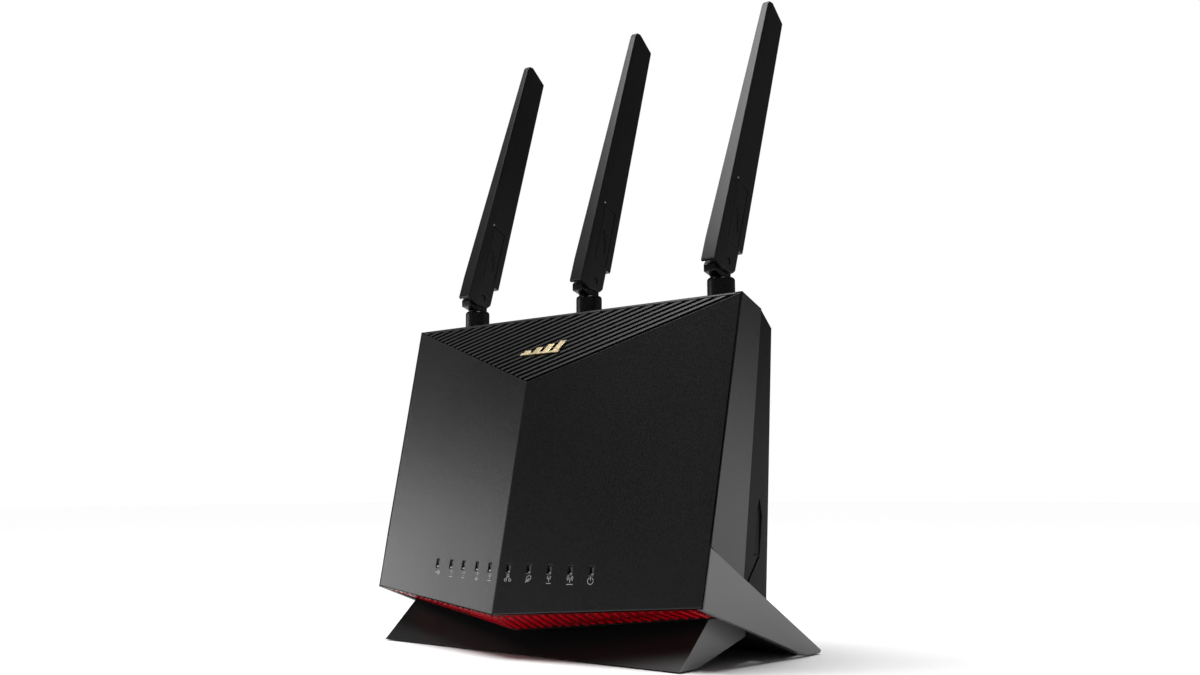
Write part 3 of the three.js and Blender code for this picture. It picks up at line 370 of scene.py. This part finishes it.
def node_bmesh(node):
    """The CAD node's mesh with its flat regions made whole."""
    bm = bmesh.new()
    bm.from_mesh(frame["nodes"][node].data)
    bmesh.ops.remove_doubles(bm, verts=bm.verts, dist=WELD)
    bmesh.ops.dissolve_limit(bm, angle_limit=FLAT, verts=bm.verts, edges=bm.edges)
    return bm


def round_edges(bm, width, segments=2, angle=25, shortest=2.4, only=None):
    """Rounds the edges that turn by more than angle; width is in millimetres.

    Edges under shortest times the width are left sharp, and so are those that only refuses.
    """
    chosen = []
    for edge in bm.edges:
        if not edge.is_manifold or edge.calc_length() < shortest * width * MM:
            continue
        if edge.calc_face_angle(0.0) > math.radians(angle) and (only is None or only(edge)):
            chosen.append(edge)
    bmesh.ops.bevel(
        bm, geom=chosen, offset=width * MM, offset_type="OFFSET", segments=segments,
        profile=0.5, affect="EDGES", clamp_overlap=False, loop_slide=True,
    )


def shell(node, material, width, segments=2, angle=25, shortest=2.4, more=()):
    """The CAD node with rounded edges; width is in millimetres."""
    bm = node_bmesh(node)
    round_edges(bm, width, segments, angle, shortest)
    return add_piece(node + "_shell", bm, material, BODY_OF[node], [node], more=more)


def keep_node(node, material):
    """A CAD node that stays as it is, with a better material."""
    piece = frame["nodes"][node]
    for place in piece.material_slots:
        place.material = MATERIALS[material]


def skin(bm, rings):
    """Closed solid over rings of corners, each with the same number of them."""
    for low, high in zip(rings, rings[1:]):
        for i, corner in enumerate(low):
            j = (i + 1) % len(low)
            bm.faces.new((corner, low[j], high[j], high[i]))
    bm.faces.new(reversed(rings[0]))
    bm.faces.new(rings[-1])


def lathe(bm, profile, centre, segments=ROUND_SIDES, axis="Z"):
    """Turns a profile of (radius, height) in millimetres about an axis through centre."""
    rings = []
    for radius, height in profile:
        ring = []
        for i in range(segments):
            angle = 2 * math.pi * i / segments
            a, b = radius * MM * math.cos(angle), radius * MM * math.sin(angle)
            h = height * MM
            offset = {"Z": (a, b, h), "Y": (a, h, -b), "X": (h, a, b)}[axis]
            ring.append(bm.verts.new(Vector(centre) + Vector(offset)))
        rings.append(ring)
    skin(bm, rings)


def prism(bm, outline, offset):
    """Closed solid between a flat outline of points and the same outline moved by offset."""
    low = [bm.verts.new(p) for p in outline]
    high = [bm.verts.new(Vector(p) + Vector(offset)) for p in outline]
    skin(bm, [low, high])


def cuboid(bm, low, high):
    (x0, y0, z0), (x1, y1, z1) = low, high
    foot = ((x0, y0, z0), (x1, y0, z0), (x1, y1, z0), (x0, y1, z0))
    prism(bm, foot, (0, 0, z1 - z0))


def centre_of(node):
    low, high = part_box(node)
    return (low + high) / 2


def surface_of(node):
    """The CAD node's surface, for rays."""
    bm = bmesh.new()
    bm.from_mesh(frame["nodes"][node].data)
    tree = BVHTree.FromBMesh(bm)
    bm.free()
    return tree


# ---------------------------------------------------------------- symbols drawn with strokes
def arc(x, y, radius, start, end, steps=10):
    """Points on an arc in millimetres; angles in degrees, anticlockwise from the right."""
    points = []
    for i in range(steps + 1):
        angle = math.radians(start + (end - start) * i / steps)
        points.append((x + radius * math.cos(angle), y + radius * math.sin(angle)))
    return points


STROKE_OVERLAP = 0.6  # how far a stroke runs past its ends, as a share of its half width
STROKE_SINK = 0.02 * MM  # how deep it sits in the face


def stroke(bm, points, width, lift, place, across, up, normal):
    """A raised line along 2-D points on a flat face; width, lift and points are in millimetres."""
    half = width / 2
    for start, end in zip(points, points[1:]):
        along = (Vector(end) - Vector(start)).normalized()
        side = Vector((-along.y, along.x)) * half
        start = Vector(start) - along * (half * STROKE_OVERLAP)
        end = Vector(end) + along * (half * STROKE_OVERLAP)
        corners = (start + side, start - side, end - side, end + side)
        outline = [place + across * (x * MM) + up * (y * MM) - normal * STROKE_SINK for x, y in corners]
        prism(bm, outline, normal * (lift * MM))


# Each symbol is a list of strokes, and each stroke a list of points in millimetres.
SYMBOLS = {
    "fork": [
        [(-2.0, 0), (1.2, 0)], [(1.0, -0.7), (2.0, 0), (1.0, 0.7)],
        [(-0.9, 0), (-0.1, 1.0), (0.6, 1.0)], [(-0.3, 0), (0.4, -1.0), (0.9, -1.0)],
    ],
    "fan": [
        arc(0, -0.5, 1.9, 50, 130), arc(0, -0.5, 1.1, 50, 130),
        [(-0.2, -0.4), (0.2, -0.4)], [(-1.2, -1.6), (1.2, -1.6)],
    ],
    "fan_double": [
        arc(0, -0.3, 1.9, 50, 130), arc(0, -0.3, 1.1, 50, 130),
        [(-0.2, -0.3), (0.2, -0.3)], [(-1.3, -1.3), (1.3, -1.3)], [(-0.9, -2.0), (0.9, -2.0)],
    ],
    "mast": [
        [(0, -0.9), (0, 0.9)], arc(0, 0.9, 0.9, -50, 50, 6), arc(0, 0.9, 0.9, 130, 230, 6),
        [(-1.2, -1.8), (1.2, -1.8)],
    ],
    "nodes": [
        arc(0, 1.2, 0.6, 0, 360), arc(-1.2, -1.0, 0.6, 0, 360), arc(1.2, -1.0, 0.6, 0, 360),
        [(-0.3, 0.7), (-0.9, -0.5)], [(0.3, 0.7), (0.9, -0.5)],
    ],
    "leaf": [
        arc(0.5, -0.2, 1.6, 60, 200), [(-1.0, -0.8), (-0.2, -1.3), (1.2, -0.2), (1.3, 1.2)],
        [(-1.5, -1.8), (0.3, 0.1)],
    ],
    "mast_wide": [
        [(0, -1.0), (0, 0.9)], arc(0, 0.9, 0.8, -50, 50, 6), arc(0, 0.9, 1.5, -45, 45, 6),
        arc(0, 0.9, 0.8, 130, 230, 6), arc(0, 0.9, 1.5, 135, 225, 6), [(-1.6, -1.9), (1.6, -1.9)],
    ],
    "power": [arc(0, 0, 1.5, 120, 420, 16), [(0, 0.4), (0, 1.9)]],
    "round": [arc(0, 0, 1.4, 0, 360, 18), [(-1.4, 0), (1.4, 0)], [(0, -1.4), (0, 1.4)]],
    "arrows": [arc(0, 0, 1.3, 20, 160, 8), arc(0, 0, 1.3, 200, 340, 8)],
    "plug": [
        [(-1.8, 0), (-0.4, 0)], arc(0.6, 0, 1.0, 90, 270, 8), [(0.6, 1.0), (0.6, -1.0)],
        [(0.6, 0.5), (1.7, 0.5)], [(0.6, -0.5), (1.7, -0.5)],
    ],
    "house": [[(-1.5, -1.3), (-1.5, 0.2), (0, 1.5), (1.5, 0.2), (1.5, -1.3), (-1.5, -1.3)]],
}


# ---------------------------------------------------------------- body shell
LAMP_XS = (-52.8, -40.7, -29.7, -18, -7.2, 5.3, 16.6, 27.8, 39, 50.2)
LAMP_Z = 41.8
LAMP_SYMBOLS = (
    (-51.5, "fork"), (-39.4, "fan"), (-28.4, "fan"), (-16.8, "fan_double"), (-6.1, "mast"),
    (6.0, "nodes"), (17.3, "leaf"), (28.4, "mast"), (39.6, "mast_wide"), (50.3, "power"),
)
SYMBOL_Z = 37.4
SYMBOL_WIDTH, SYMBOL_LIFT = 0.3, 0.05  # of its strokes
LENS_BESIDE = 1.4  # from a slot's middle to the plain face beside it
LENS_HALF_WIDTH = 0.55
LENS_SETBACK = 0.35  # behind the panel's face
LENS_DEPTH = 0.9
LENS_HEIGHTS = (-1.95, -1.25)  # from the slot's middle


def front_symbols():
    """A plain symbol under each lamp slot."""
    face = surface_of("front_panel")
    bm = bmesh.new()
    for x, symbol in LAMP_SYMBOLS:
        place, normal, _, _ = face.ray_cast(Vector((x * MM, -FAR, SYMBOL_Z * MM)), BACKWARD)
        if normal.y > 0:
            normal = -normal
        across = normal.cross(UPWARD).normalized()
        if across.x < 0:
            across = -across
        up = normal.cross(across)
        if up.z < 0:
            up = -up
        for points in SYMBOLS[symbol]:
            stroke(bm, points, SYMBOL_WIDTH, SYMBOL_LIFT, place, across, up, normal)
    add_piece("lamp_symbols", bm, "symbol_grey", "router", smooth=10)


def lamp_lenses():
    """A small pale lens at the foot of each lamp slot."""
    face = surface_of("front_panel")
    bm = bmesh.new()
    low, high = ((LAMP_Z + z) * MM for z in LENS_HEIGHTS)
    for x in LAMP_XS:
        beside, _, _, _ = face.ray_cast(Vector(((x + LENS_BESIDE) * MM, -FAR, LAMP_Z * MM)), BACKWARD)
        front = beside.y + LENS_SETBACK * MM
        left, right = (x - LENS_HALF_WIDTH) * MM, (x + LENS_HALF_WIDTH) * MM
        cuboid(bm, (left, front, low), (right, front + LENS_DEPTH * MM, high))
    add_piece("lamp_lenses", bm, "lamp_lens", "router", smooth=10)


RIB_PITCH, RIB_WIDTH, RIB_HEIGHT = 4.6, 2.9, 0.55
RIB_MARGIN = 4  # the strip's plain ends
RIB_INSET = 1.1  # from the strip's edges
RIB_SINK = 0.05
RIB_CREST = (0.5, -0.1)  # the crest's two edges, as shares of half the rib's width
RIB_PROBES = 40  # rays up the strip's height, to find its sloping face
RIB_FEWEST = 3  # rays that have to meet it
SLOPE_Z, SLOPE_Y = 0.3, 0.2  # least parts of that face's normal


def strip_face(face, x, low, high):
    """The places and outward normals on the strip's sloping face, from its lower edge up."""
    points = []
    for step in range(RIB_PROBES + 1):
        z = low.z + (high.z - low.z) * step / RIB_PROBES
        place, normal, _, _ = face.ray_cast(Vector((x, -FAR, z)), BACKWARD)
        if place is not None and abs(normal.z) > SLOPE_Z and abs(normal.y) > SLOPE_Y:
            points.append((place, normal if normal.z < 0 else -normal))
    return points


def accent_ribs():
    """Fine ridges that run from the front edge of the red strip to its lower edge."""
    face = surface_of("accent_strip")
    low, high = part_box("accent_strip")
    bm = bmesh.new()
    count = int((high.x - RIB_MARGIN * MM) / (RIB_PITCH * MM))
    for i in range(-count, count + 1):
        points = strip_face(face, (i + 0.5) * RIB_PITCH * MM, low, high)
        if len(points) < RIB_FEWEST:
            continue
        (start, normal), (end, _) = points[0], points[-1]
        inset = (end - start).normalized() * (RIB_INSET * MM)
        start, end = start + inset, end - inset
        across = (end - start).cross(normal).normalized()
        foot, ridge = across * (RIB_WIDTH * MM / 2), normal * (RIB_HEIGHT * MM)
        sunk = start - normal * (RIB_SINK * MM)
        crest = [start + ridge + foot * share for share in RIB_CREST]
        prism(bm, [sunk - foot, sunk + foot, *crest], end - start)
    add_piece("accent_ribs", bm, "accent_red", "router", smooth=20)


SHADED_GROOVE_START = 0.4 * MM  # deeper than this below the ribs' tops counts as groove, which gets the painted shade
RIB_TOP_Y, RIB_TOP_X = -0.3, 0.05  # a rib's top faces forward by more, and sideways by less


def grille():
    """The ribbed triangle, with a rougher floor between its ribs that is darkened as painted shade."""
    piece = shell("top_grille", "grille_black", 0.12, more=("painted_groove_shade",))
    faces = piece.data.polygons
    forward = [face for face in faces if face.normal.y < RIB_TOP_Y and abs(face.normal.x) < RIB_TOP_X]
    normal = max(forward, key=lambda face: face.area).normal.copy()
    crown = max(normal.dot(vert.co) for vert in piece.data.vertices)
    for face in faces:
        # faces deep between the ribs take the darker material: painted shade
        face.material_index = int(normal.dot(face.center) < crown - SHADED_GROOVE_START)


SHELL_ANGLE = 12  # degrees; the body's edges that turn by more are rounded
PAINTED_LIGHT_END = 0.8  # least part of a sideways normal, on the front foot's ends, which take a paler grey as painted light


def body_shell():
    shell("front_panel", "front_black", 0.55, 3, SHELL_ANGLE)
    grille()
    shell("emblem", "emblem_gold", 0.12)
    shell("bezel", "shell_black", 0.3, angle=SHELL_ANGLE)
    shell("rear_cover", "rear_black", 0.3, angle=SHELL_ANGLE)
    shell("base_cover", "rear_black", 0.3, angle=SHELL_ANGLE)
    # the strip wears the darker red as painted shade between its ribs
    shell("accent_strip", "accent_painted_shade", 0.2, angle=SHELL_ANGLE)
    foot = shell("front_foot", "foot_black", 0.4, angle=SHELL_ANGLE, more=("stand_grey",))
    # the black foot's ends take the paler stand grey: painted light, the same plastic shown lit
    for face in foot.data.polygons:
        face.material_index = int(abs(face.normal.x) > PAINTED_LIGHT_END)
    shell("rear_foot", "foot_black", 0.4, angle=SHELL_ANGLE)
    shell("right_cheek", "stand_grey", 0.3)
    shell("left_cheek", "stand_grey", 0.3)
    for end in ("front", "rear"):
        for side in ("left", "right"):
            shell(f"{end}_{side}_pad", "rubber", 0.4, 3)
    shell("led_light_guide", "clear", 0.12)
    accent_ribs()
    front_symbols()
    lamp_lenses()


# ---------------------------------------------------------------- screws
SCREW_SIDES, SCREW_ARMS = 48, 4
SCREW_RADIUS, CROSS_RADIUS, CROSS_CORE = 3.0, 1.75, 0.42
CROSS_FLANK, CROSS_FILLET = 0.98, 0.25  # how square an arm's end is, and how round the inner corners
# Radius and height of the head's round steps, the height from its top.
SCREW_STEPS = (
    (SCREW_RADIUS, -1.0), (SCREW_RADIUS, -0.35), (SCREW_RADIUS - 0.45, -0.08), (CROSS_RADIUS + 0.15, 0.0),
)
CROSS_STEPS = ((1.0, 0.0), (0.72, -0.85))  # share of the cross's size, and height
SHANK_RADIUS = 1.35
SHANK_END = 1.1  # under the head's top


def cross_radius(i):
    """How far the cross recess reaches at the i-th point round it."""
    per_arm = SCREW_SIDES // SCREW_ARMS
    phase = i % per_arm
    if phase == 0:
        return CROSS_RADIUS
    if phase in (1, per_arm - 1):
        return CROSS_RADIUS * CROSS_FLANK
    return CROSS_CORE + CROSS_FILLET * abs(phase - per_arm / 2) / per_arm


def screw(node):
    """A pan head with a cross recess, on its shank."""
    low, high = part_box(node)
    x, z = (low.x + high.x) / 2, (low.z + high.z) / 2
    cross = [cross_radius(i) for i in range(SCREW_SIDES)]
    outlines = [([radius] * SCREW_SIDES, height) for radius, height in SCREW_STEPS]
    outlines += [([share * radius for radius in cross], height) for share, height in CROSS_STEPS]
    bm = bmesh.new()
    rings = []
    for radii, height in outlines:
        ring = []
        for i, radius in enumerate(radii):
            angle = 2 * math.pi * i / SCREW_SIDES
            offset = (radius * MM * math.cos(angle), height * MM, radius * MM * math.sin(angle))
            ring.append(bm.verts.new(Vector((x, high.y, z)) + Vector(offset)))
        rings.append(ring)
    skin(bm, rings)
    length = (high.y - low.y) / MM - SHANK_END
    lathe(bm, [(SHANK_RADIUS, 0), (SHANK_RADIUS, length)], (x, low.y, z), SMALL_SIDES, "Y")
    add_piece(node + "_head", bm, "steel", "router", [node])


def screws():
    for level in ("upper", "lower"):
        for side in ("left", "right"):
            screw(f"{level}_{side}_screw")


# ---------------------------------------------------------------- ports
# BACK counts from a socket's back wall, FRONT and MOUTH from its front face, levels from its middle.
SOCKET_MOUTH = 3  # a socket's inner parts begin behind this
JACK_CONTACTS, JACK_CONTACT_PITCH, JACK_CONTACT_HALF = 8, 1.02, 0.2
JACK_CONTACT_BACK, JACK_CONTACT_FRONT, JACK_TIP_FRONT = 3.6, 2.0, 2.4
JACK_CONTACT_LEVELS = (-3.9, -3.4, -0.3)  # a contact's foot, its bend and its top
USB_TONGUE_HALF, USB_TONGUE_LEVELS, USB_TONGUE_BACK = 5.5, (-0.2, 1.8), 2.2
USB_CONTACTS, USB_CONTACT_PITCH, USB_CONTACT_HALF = 4, 2.5, 0.5
USB_CONTACT_BACK, USB_CONTACT_FRONT = 4, 4.2
USB_CONTACT_LEVEL, USB_CONTACT_HEIGHT = -0.22, 0.15
DC_PIN_REACH, DC_PIN_BACK = 1.2, 2.1


def jack(node, material):
    """A network jack with its eight sprung contacts."""
    low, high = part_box(node)
    shell(node, material, 0.25)
    centre = (low + high) / 2
    back, front = low.y + JACK_CONTACT_BACK * MM, high.y - JACK_CONTACT_FRONT * MM
    tip = high.y - JACK_TIP_FRONT * MM
    foot, bend, top = (centre.z + level * MM for level in JACK_CONTACT_LEVELS)
    half = JACK_CONTACT_HALF * MM
    bm = bmesh.new()
    for i in range(JACK_CONTACTS):
        x = centre.x + (i - (JACK_CONTACTS - 1) / 2) * JACK_CONTACT_PITCH * MM - half
        prism(bm, [(x, back, foot), (x, front, foot), (x, tip, bend), (x, back, top)], (2 * half, 0, 0))
    add_piece(node + "_contacts", bm, "brass", "router", smooth=10)


def usb_socket():
    """The tin shield, the blue tongue in it and the contacts under the tongue."""
    low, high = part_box("usb_socket")
    centre = (low + high) / 2
    piece = shell("usb_socket", "tin", 0.18, more=("jack_blue",))
    for face in piece.data.polygons:
        place = (face.center - centre) / MM
        inner = low.y + USB_TONGUE_BACK * MM < face.center.y < high.y - SOCKET_MOUTH * MM
        level = USB_TONGUE_LEVELS[0] < place.z < USB_TONGUE_LEVELS[1]
        if inner and level and abs(place.x) < USB_TONGUE_HALF:
            face.material_index = 1
    back, front = low.y + USB_CONTACT_BACK * MM, high.y - USB_CONTACT_FRONT * MM
    z = centre.z + USB_CONTACT_LEVEL * MM
    half = USB_CONTACT_HALF * MM
    bm = bmesh.new()
    for i in range(USB_CONTACTS):
        x = centre.x + (i - (USB_CONTACTS - 1) / 2) * USB_CONTACT_PITCH * MM
        cuboid(bm, (x - half, back, z), (x + half, front, z + USB_CONTACT_HEIGHT * MM))
    add_piece("usb_contacts", bm, "brass", "router", smooth=10)


def dc_inlet():
    """The power inlet, with a bright pin in its middle."""
    low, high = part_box("dc_inlet")
    centre = (low + high) / 2
    piece = shell("dc_inlet", "jack_black", 0.25, more=("tin",))
    for face in piece.data.polygons:
        across = math.hypot(face.center.x - centre.x, face.center.z - centre.z)
        inner = low.y + DC_PIN_BACK * MM < face.center.y < high.y - SOCKET_MOUTH * MM
        if inner and across < DC_PIN_REACH * MM:
            face.material_index = 1


def ports():
    jack("wan_jack", "jack_blue")
    for number in (1, 2, 3):
        jack(f"lan_jack_{number}", "jack_yellow")
    shell("port_tray", "rear_black", 0.3)
    usb_socket()
    dc_inlet()
    for node in ("power_button", "wps_button", "reset_button"):
        shell(node, "button_grey", 0.3, 3, shortest=0.5)
    shell("sim_tray", "jack_black", 0.2)
    shell("sim_holder", "tin", 0.15)


PORT_SYMBOLS = (
    ("dc_inlet", "plug"), ("power_button", "power"), ("usb_socket", "fork"), ("lan_jack_3", "nodes"),
    ("lan_jack_2", "nodes"), ("lan_jack_1", "nodes"), ("wan_jack", "round"), ("wps_button", "arrows"),
    ("reset_button", "house"), ("sim_tray", "fan"),
)
PORT_SYMBOL_RISE = 10.6  # over the tray's middle
PORT_SYMBOL_WIDTH, PORT_SYMBOL_LIFT = 0.32, 0.1  # of its strokes


def port_symbols():
    """A raised symbol over each port, on the floor of the port tray."""
    z = centre_of("port_tray").z + PORT_SYMBOL_RISE * MM
    face = surface_of("port_tray")
    bm = bmesh.new()
    for node, symbol in PORT_SYMBOLS:
        place, _, _, _ = face.ray_cast(Vector((centre_of(node).x, FAR, z)), FORWARD)
        for points in SYMBOLS[symbol]:
            stroke(bm, points, PORT_SYMBOL_WIDTH, PORT_SYMBOL_LIFT, place, LEFTWARD, UPWARD, BACKWARD)
    add_piece("port_symbols", bm, "symbol_grey", "router", smooth=10)


# ---------------------------------------------------------------- antennas
BARREL_RADIUS = 6.8
BARREL_BORE, BARREL_BORE_END = 3.6, 12.5
BARREL_SHOULDER = 1.6
BARREL_RIM = ((0.5, 0), (0.15, 0.15), (0, 0.5))  # inset and height of its rounded lower edge
SHOULDER_ANGLES = [math.radians(15 * k) for k in range(7)]
ON_AXIS = 0.01  # a radius that closes a turned profile

# Boxes in the blade's own axes, in millimetres: where the paddle's edges get a finer rounding.
BEYOND = 99  # past the blade on any side
INLAY_RECESS = ((0, -5, 10), (BEYOND, 6.3, 45))
INLAY_RIM = ((3.4, -5, 10), (BEYOND, 6.3, 45))
EAR_STEP = ((-BEYOND, 6.5, 8.3), (BEYOND, BEYOND, 9.4))

PROBE_X = 12  # beside the blade, where rays to its right face start
MARK_BARS, MARK_PITCH, MARK_START = 4, 3.2, 17.5
MARK_REAR, MARK_FRONT, MARK_GROWTH = 2.9, 2.6, 1.1  # how far bars reach, and how much more each does
MARK_SLANT, MARK_WIDTH = 0.9, 1.7
MARK_SINK, MARK_HEIGHT = 0.03, 0.4
DOT_PLACE = (-4.4, 45.2)
DOT_PROFILE = ((0.55, -0.3), (0.55, 0.08), (0.35, 0.16))


def antenna_barrel(side):
    """The round barrel, open below for its socket."""
    node = f"{side}_antenna_barrel"
    low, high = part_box(node)
    height = (high.z - low.z) / MM
    shoulder = [
        (
            BARREL_RADIUS - BARREL_SHOULDER * (1 - math.cos(angle)),
            height - BARREL_SHOULDER * (1 - math.sin(angle)),
        )
        for angle in SHOULDER_ANGLES
    ]
    bore = [(ON_AXIS, BARREL_BORE_END), (BARREL_BORE, BARREL_BORE_END), (BARREL_BORE, 0)]
    rim = [(BARREL_RADIUS - inset, rise) for inset, rise in BARREL_RIM]
    profile = [*bore, *rim, *shoulder, (ON_AXIS, height)]
    bm = bmesh.new()
    lathe(bm, profile, ((low.x + high.x) / 2, (low.y + high.y) / 2, low.z))
    add_piece(node + "_turned", bm, "hinge_black", BODY_OF[node], [node])


def blade_frame(side):
    """From the blade's own axes, in millimetres, to the row frame."""
    tilt = next(joint for joint in frame["joints"] if joint["name"] == f"{side}_antenna_tilt")
    lean = math.radians(tilt["range_deg"][0])  # upright is the tilt's lower limit
    pivot = centre_of(f"{side}_antenna_pin")
    return Matrix.Translation(pivot) @ Matrix.Rotation(lean, 4, "X") @ Matrix.Scale(MM, 4)


def paddle_shell(side):
    """The paddle with soft outer edges, and finer ones at the inlay and at the ear's thin step."""
    node = f"{side}_antenna_paddle"
    to_blade = blade_frame(side).inverted()

    def within(edge, box):
        low, high = box
        places = [to_blade @ vert.co for vert in edge.verts]
        return all(low[k] < place[k] < high[k] for place in places for k in range(3))

    def outer(edge):
        return not within(edge, INLAY_RECESS) and not within(edge, EAR_STEP)

    bm = node_bmesh(node)
    round_edges(bm, 0.45, 3, 14, only=outer)
    round_edges(bm, 0.12, 1, 14, only=lambda edge: within(edge, EAR_STEP))
    round_edges(bm, 0.08, 1, 40, only=lambda edge: within(edge, INLAY_RIM))
    add_piece(node + "_shell", bm, "antenna_black", BODY_OF[node], [node])


def antenna_mark(side):
    """Raised slanted bars of growing height on the inlay's face."""
    to_row = blade_frame(side)
    face = surface_of(f"{side}_antenna_inlay")
    bm = bmesh.new()
    for i in range(MARK_BARS):
        start = MARK_START + i * MARK_PITCH
        front = MARK_FRONT - MARK_GROWTH * i
        end = start + MARK_WIDTH
        corners = (
            (MARK_REAR, start), (front, start + MARK_SLANT), (front, end + MARK_SLANT), (MARK_REAR, end),
        )
        outline = []
        for y, z in corners:
            place, normal, _, _ = face.ray_cast(to_row @ Vector((PROBE_X, y, z)), LEFTWARD)
            outline.append(place - normal * (MARK_SINK * MM))
        prism(bm, outline, (MARK_HEIGHT * MM, 0, 0))
    add_piece(f"{side}_antenna_mark", bm, "antenna_black", f"{side}_antenna_blade", smooth=10)


def antenna_dot(side):
    """Small set pin at the upper corner of the inlay."""
    face = surface_of(f"{side}_antenna_paddle")
    start = blade_frame(side) @ Vector((PROBE_X, *DOT_PLACE))
    place, _, _, _ = face.ray_cast(start, LEFTWARD)
    bm = bmesh.new()
    lathe(bm, DOT_PROFILE, place, SMALL_SIDES, "X")
    add_piece(f"{side}_antenna_dot", bm, "steel", f"{side}_antenna_blade")


def antennas():
    for side in SIDES:
        antenna_barrel(side)
        shell(f"{side}_antenna_knuckle", "hinge_black", 0.4)
        paddle_shell(side)
        shell(f"{side}_antenna_inlay", "antenna_black", 0.1)
        shell(f"{side}_antenna_pin", "antenna_black", 0.25, angle=40, shortest=0.5)
        antenna_mark(side)
        antenna_dot(side)


# ---------------------------------------------------------------- inside
def inside():
    keep_node("main_board", "board_green")
    keep_node("led_board", "board_green")
    keep_node("heatsink", "aluminium")
    keep_node("shield_can", "tin")
    for side in SIDES:
        keep_node(f"{side}_antenna_socket", "brass")
        keep_node(f"{side}_coax_lead", "jack_black")
        keep_node(f"{side}_antenna_radiator", "board_green")


# ---------------------------------------------------------------- studio
# Name, direction from the object, distance, width and height in metres, and radiance of its face.
SOFTBOXES = (
    ("left_softbox", (-0.86, -0.36, 0.04), 1.1, 0.7, 0.28, 4.0),
    ("right_softbox", (0.74, 0.66, -0.03), 1.0, 0.6, 0.16, 2.2),
    ("high_softbox", (-0.38, -0.33, 0.87), 1.2, 0.38, 0.38, 8.0),
)
LIT_HEIGHT = 0.1  # metres; the lights aim at the object's axis there
SUN_STRENGTH, SUN_ANGLE, SUN_TURN = 3.3, 42, (6, -8, 0)
WORLD_GREY = 0.06  # what lights the object; the camera sees white
FLOOR_REACH, FLOOR_STEPS = 6.0, 24


def add_light(name, kind):
    light = bpy.data.lights.new(name, kind)
    lamp = bpy.data.objects.new(name, light)
    bpy.context.scene.collection.objects.link(lamp)
    return light, lamp


def add_softbox(name, direction, distance, width, height, radiance):
    """A rectangular light that faces the object."""
    light, lamp = add_light(name, "AREA")
    light.shape = "RECTANGLE"
    light.size = width
    light.size_y = height
    light.energy = radiance * math.pi * width * height
    target = (CAD_LOW + CAD_HIGH) / 2
    target.z = LIT_HEIGHT
    away = Vector(direction).normalized()
    lamp.location = target + away * distance
    lamp.rotation_euler = away.to_track_quat("Z", "Y").to_euler()


def add_floor():
    bm = bmesh.new()
    bmesh.ops.create_grid(bm, x_segments=FLOOR_STEPS, y_segments=FLOOR_STEPS, size=FLOOR_REACH)
    mesh = bpy.data.meshes.new("studio_floor")
    bm.to_mesh(mesh)
    bm.free()
    mesh.materials.append(floor_material())
    floor = bpy.data.objects.new("studio_floor", mesh)
    bpy.context.scene.collection.objects.link(floor)


def add_world():
    """White to the camera, and a dim grey to everything else."""
    world = bpy.data.worlds.new("studio")
    world.use_nodes = True
    tree = world.node_tree
    grey = tree.nodes["Background"]
    grey.inputs["Color"].default_value = (WORLD_GREY, WORLD_GREY, WORLD_GREY, 1)
    white = tree.nodes.new("ShaderNodeBackground")
    white.inputs["Color"].default_value = (1, 1, 1, 1)
    pick = tree.nodes.new("ShaderNodeMixShader")
    path = tree.nodes.new("ShaderNodeLightPath")
    tree.links.new(path.outputs["Is Camera Ray"], pick.inputs[0])
    tree.links.new(grey.outputs[0], pick.inputs[1])
    tree.links.new(white.outputs[0], pick.inputs[2])
    tree.links.new(pick.outputs[0], tree.nodes["World Output"].inputs["Surface"])
    bpy.context.scene.world = world


def studio():
    add_floor()
    sun, lamp = add_light("ceiling", "SUN")
    sun.energy = SUN_STRENGTH
    sun.angle = math.radians(SUN_ANGLE)
    lamp.rotation_euler = [math.radians(turn) for turn in SUN_TURN]
    for softbox in SOFTBOXES:
        add_softbox(*softbox)
    add_world()
    bpy.context.scene.view_settings.view_transform = "Standard"


place_camera()
body_shell()
screws()
ports()
port_symbols()
antennas()
inside()
studio()
